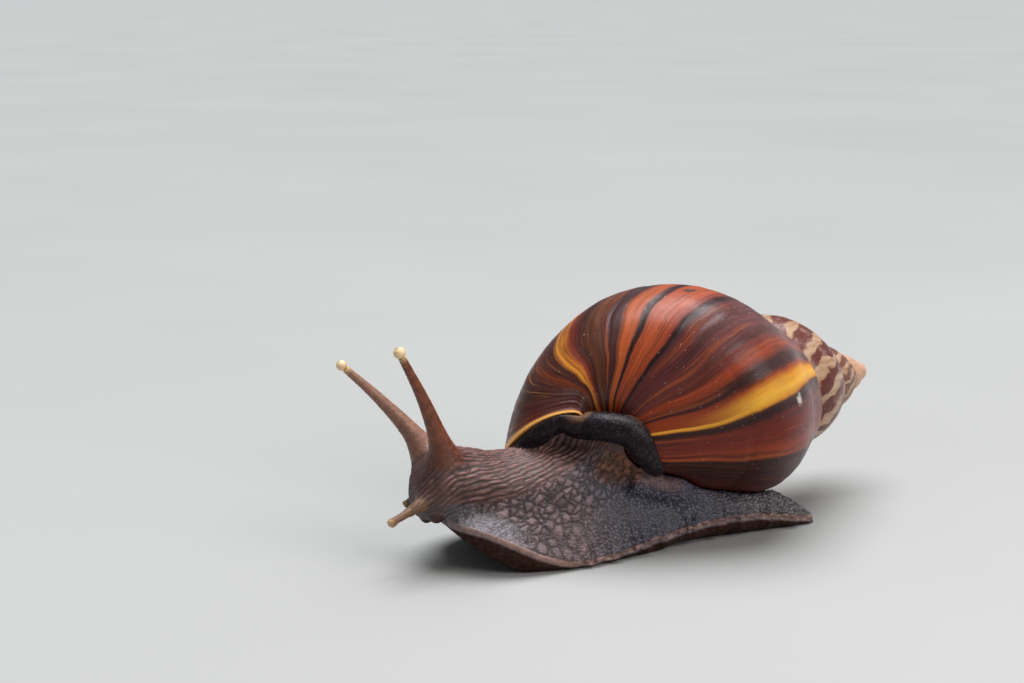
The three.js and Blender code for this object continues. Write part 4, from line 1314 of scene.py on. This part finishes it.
def eye_material():
    s = Shader("snail_eye")
    mottle = s.noise(s.place(), 1800.0, 4.0, 0.6)
    colour = s.layers(
        s.ramp(mottle, [(0.35, (0.62, 0.42, 0.2)), (0.6, (0.76, 0.58, 0.34))]),
        (s.times(s.attribute("root"), 0.55), (0.58, 0.31, 0.13)),
        (s.times(s.attribute("spot"), 0.55), (0.1, 0.05, 0.03)),
    )
    return s.finish(
        Base_Color=colour, Roughness=s.range(mottle, 0.3, 0.7, 0.38, 0.5),
        Normal=s.bump(mottle, 0.3, 0.02), Coat_Weight=0.08, Coat_Roughness=0.3,
        Subsurface_Weight=0.15, Subsurface_Scale=0.0006,
    )


def floor_material():
    s = Shader("studio_floor")
    soft = s.noise(s.place(), 6.0, 3.0)
    colour = s.ramp(soft, [(0.3, (0.31, 0.31, 0.305)), (0.7, (0.33, 0.33, 0.325))])
    return s.finish(Base_Color=colour, Roughness=0.85)


# ---- Studio ----

def build_studio():
    mesh = bpy.data.meshes.new("studio_floor")
    corners = [(x * FLOOR_HALF, y * FLOOR_HALF, 0) for x, y in ((-1, -1), (1, -1), (1, 1), (-1, 1))]
    mesh.from_pydata(corners, [], [(0, 1, 2, 3)])
    mesh.materials.append(floor_material())
    placed("studio_floor", mesh)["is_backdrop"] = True

    world = bpy.data.worlds.new("studio_world")
    world.use_nodes = True
    background = world.node_tree.nodes["Background"]
    background.inputs["Color"].default_value = (0.84, 0.88, 0.92, 1.0)
    background.inputs["Strength"].default_value = 0.24
    bpy.context.scene.world = world
    lamp("sky_light", "SUN", SKY_FROM, (0, 0, 0), (0.97, 0.98, 1.0), 5.2, angle=math.radians(48.0))
    lamp("key_panel", "AREA", KEY_PLACE, KEY_AIM, (1.0, 0.97, 0.93), 2.6, shape="DISK", size=0.4)
    bpy.context.scene.view_settings.view_transform = "Standard"


def lamp(name, kind, place, aim, colour, energy, **settings):
    """A light at a place, turned toward what it lights."""
    light = bpy.data.lights.new(name, kind)
    for key, value in {"color": colour, "energy": energy, **settings}.items():
        setattr(light, key, value)
    made = placed(name, light)
    made.location = place
    made.rotation_euler = (Vector(aim) - Vector(place)).to_track_quat("-Z", "Y").to_euler()


def build_camera():
    data = bpy.data.cameras.new("photo_camera")
    data.lens = LENS
    data.sensor_width = 36.0
    data.clip_start = 0.01
    data.clip_end = 100.0
    camera = placed("photo_camera", data)
    camera.location = CAMERA_PLACE
    camera.rotation_euler = (math.radians(90 + CAMERA_PITCH), 0, math.radians(CAMERA_TURN))
    bpy.context.scene.camera = camera


# ---- The snail ----

FLESH_NODES = [
    "mantle_collar", "foot_front", "foot_middle", "tail", "neck", "mantle", "head",
    "upper_feeler_left", "upper_feeler_right", "lower_feeler_left", "lower_feeler_right",
    "mouth_lobe_left", "mouth_lobe_right",
]


def dress(piece, material, slot, *nodes):
    piece.data.materials.append(material)
    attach(piece, "root")
    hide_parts(*nodes)


def build_snail():
    shell, shell_points, shell_faces, mouth_middle = build_shell()
    dress(shell, shell_material(), "shell", "shell")
    skin = build_skin(mouth_middle, shell_points, shell_faces)
    dress(skin, skin_material(), "skin", *FLESH_NODES)
    glint = eye_material()
    for side, word in enumerate(("left", "right")):
        dress(build_eye(side, word), glint, "eye", "eye_" + word)


build_camera()
build_studio()
build_snail()

sizes = {"cad": cad_box, "visual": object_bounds()}
sizes = {name: [[float(v) for v in corner] for corner in box] for name, box in sizes.items()}
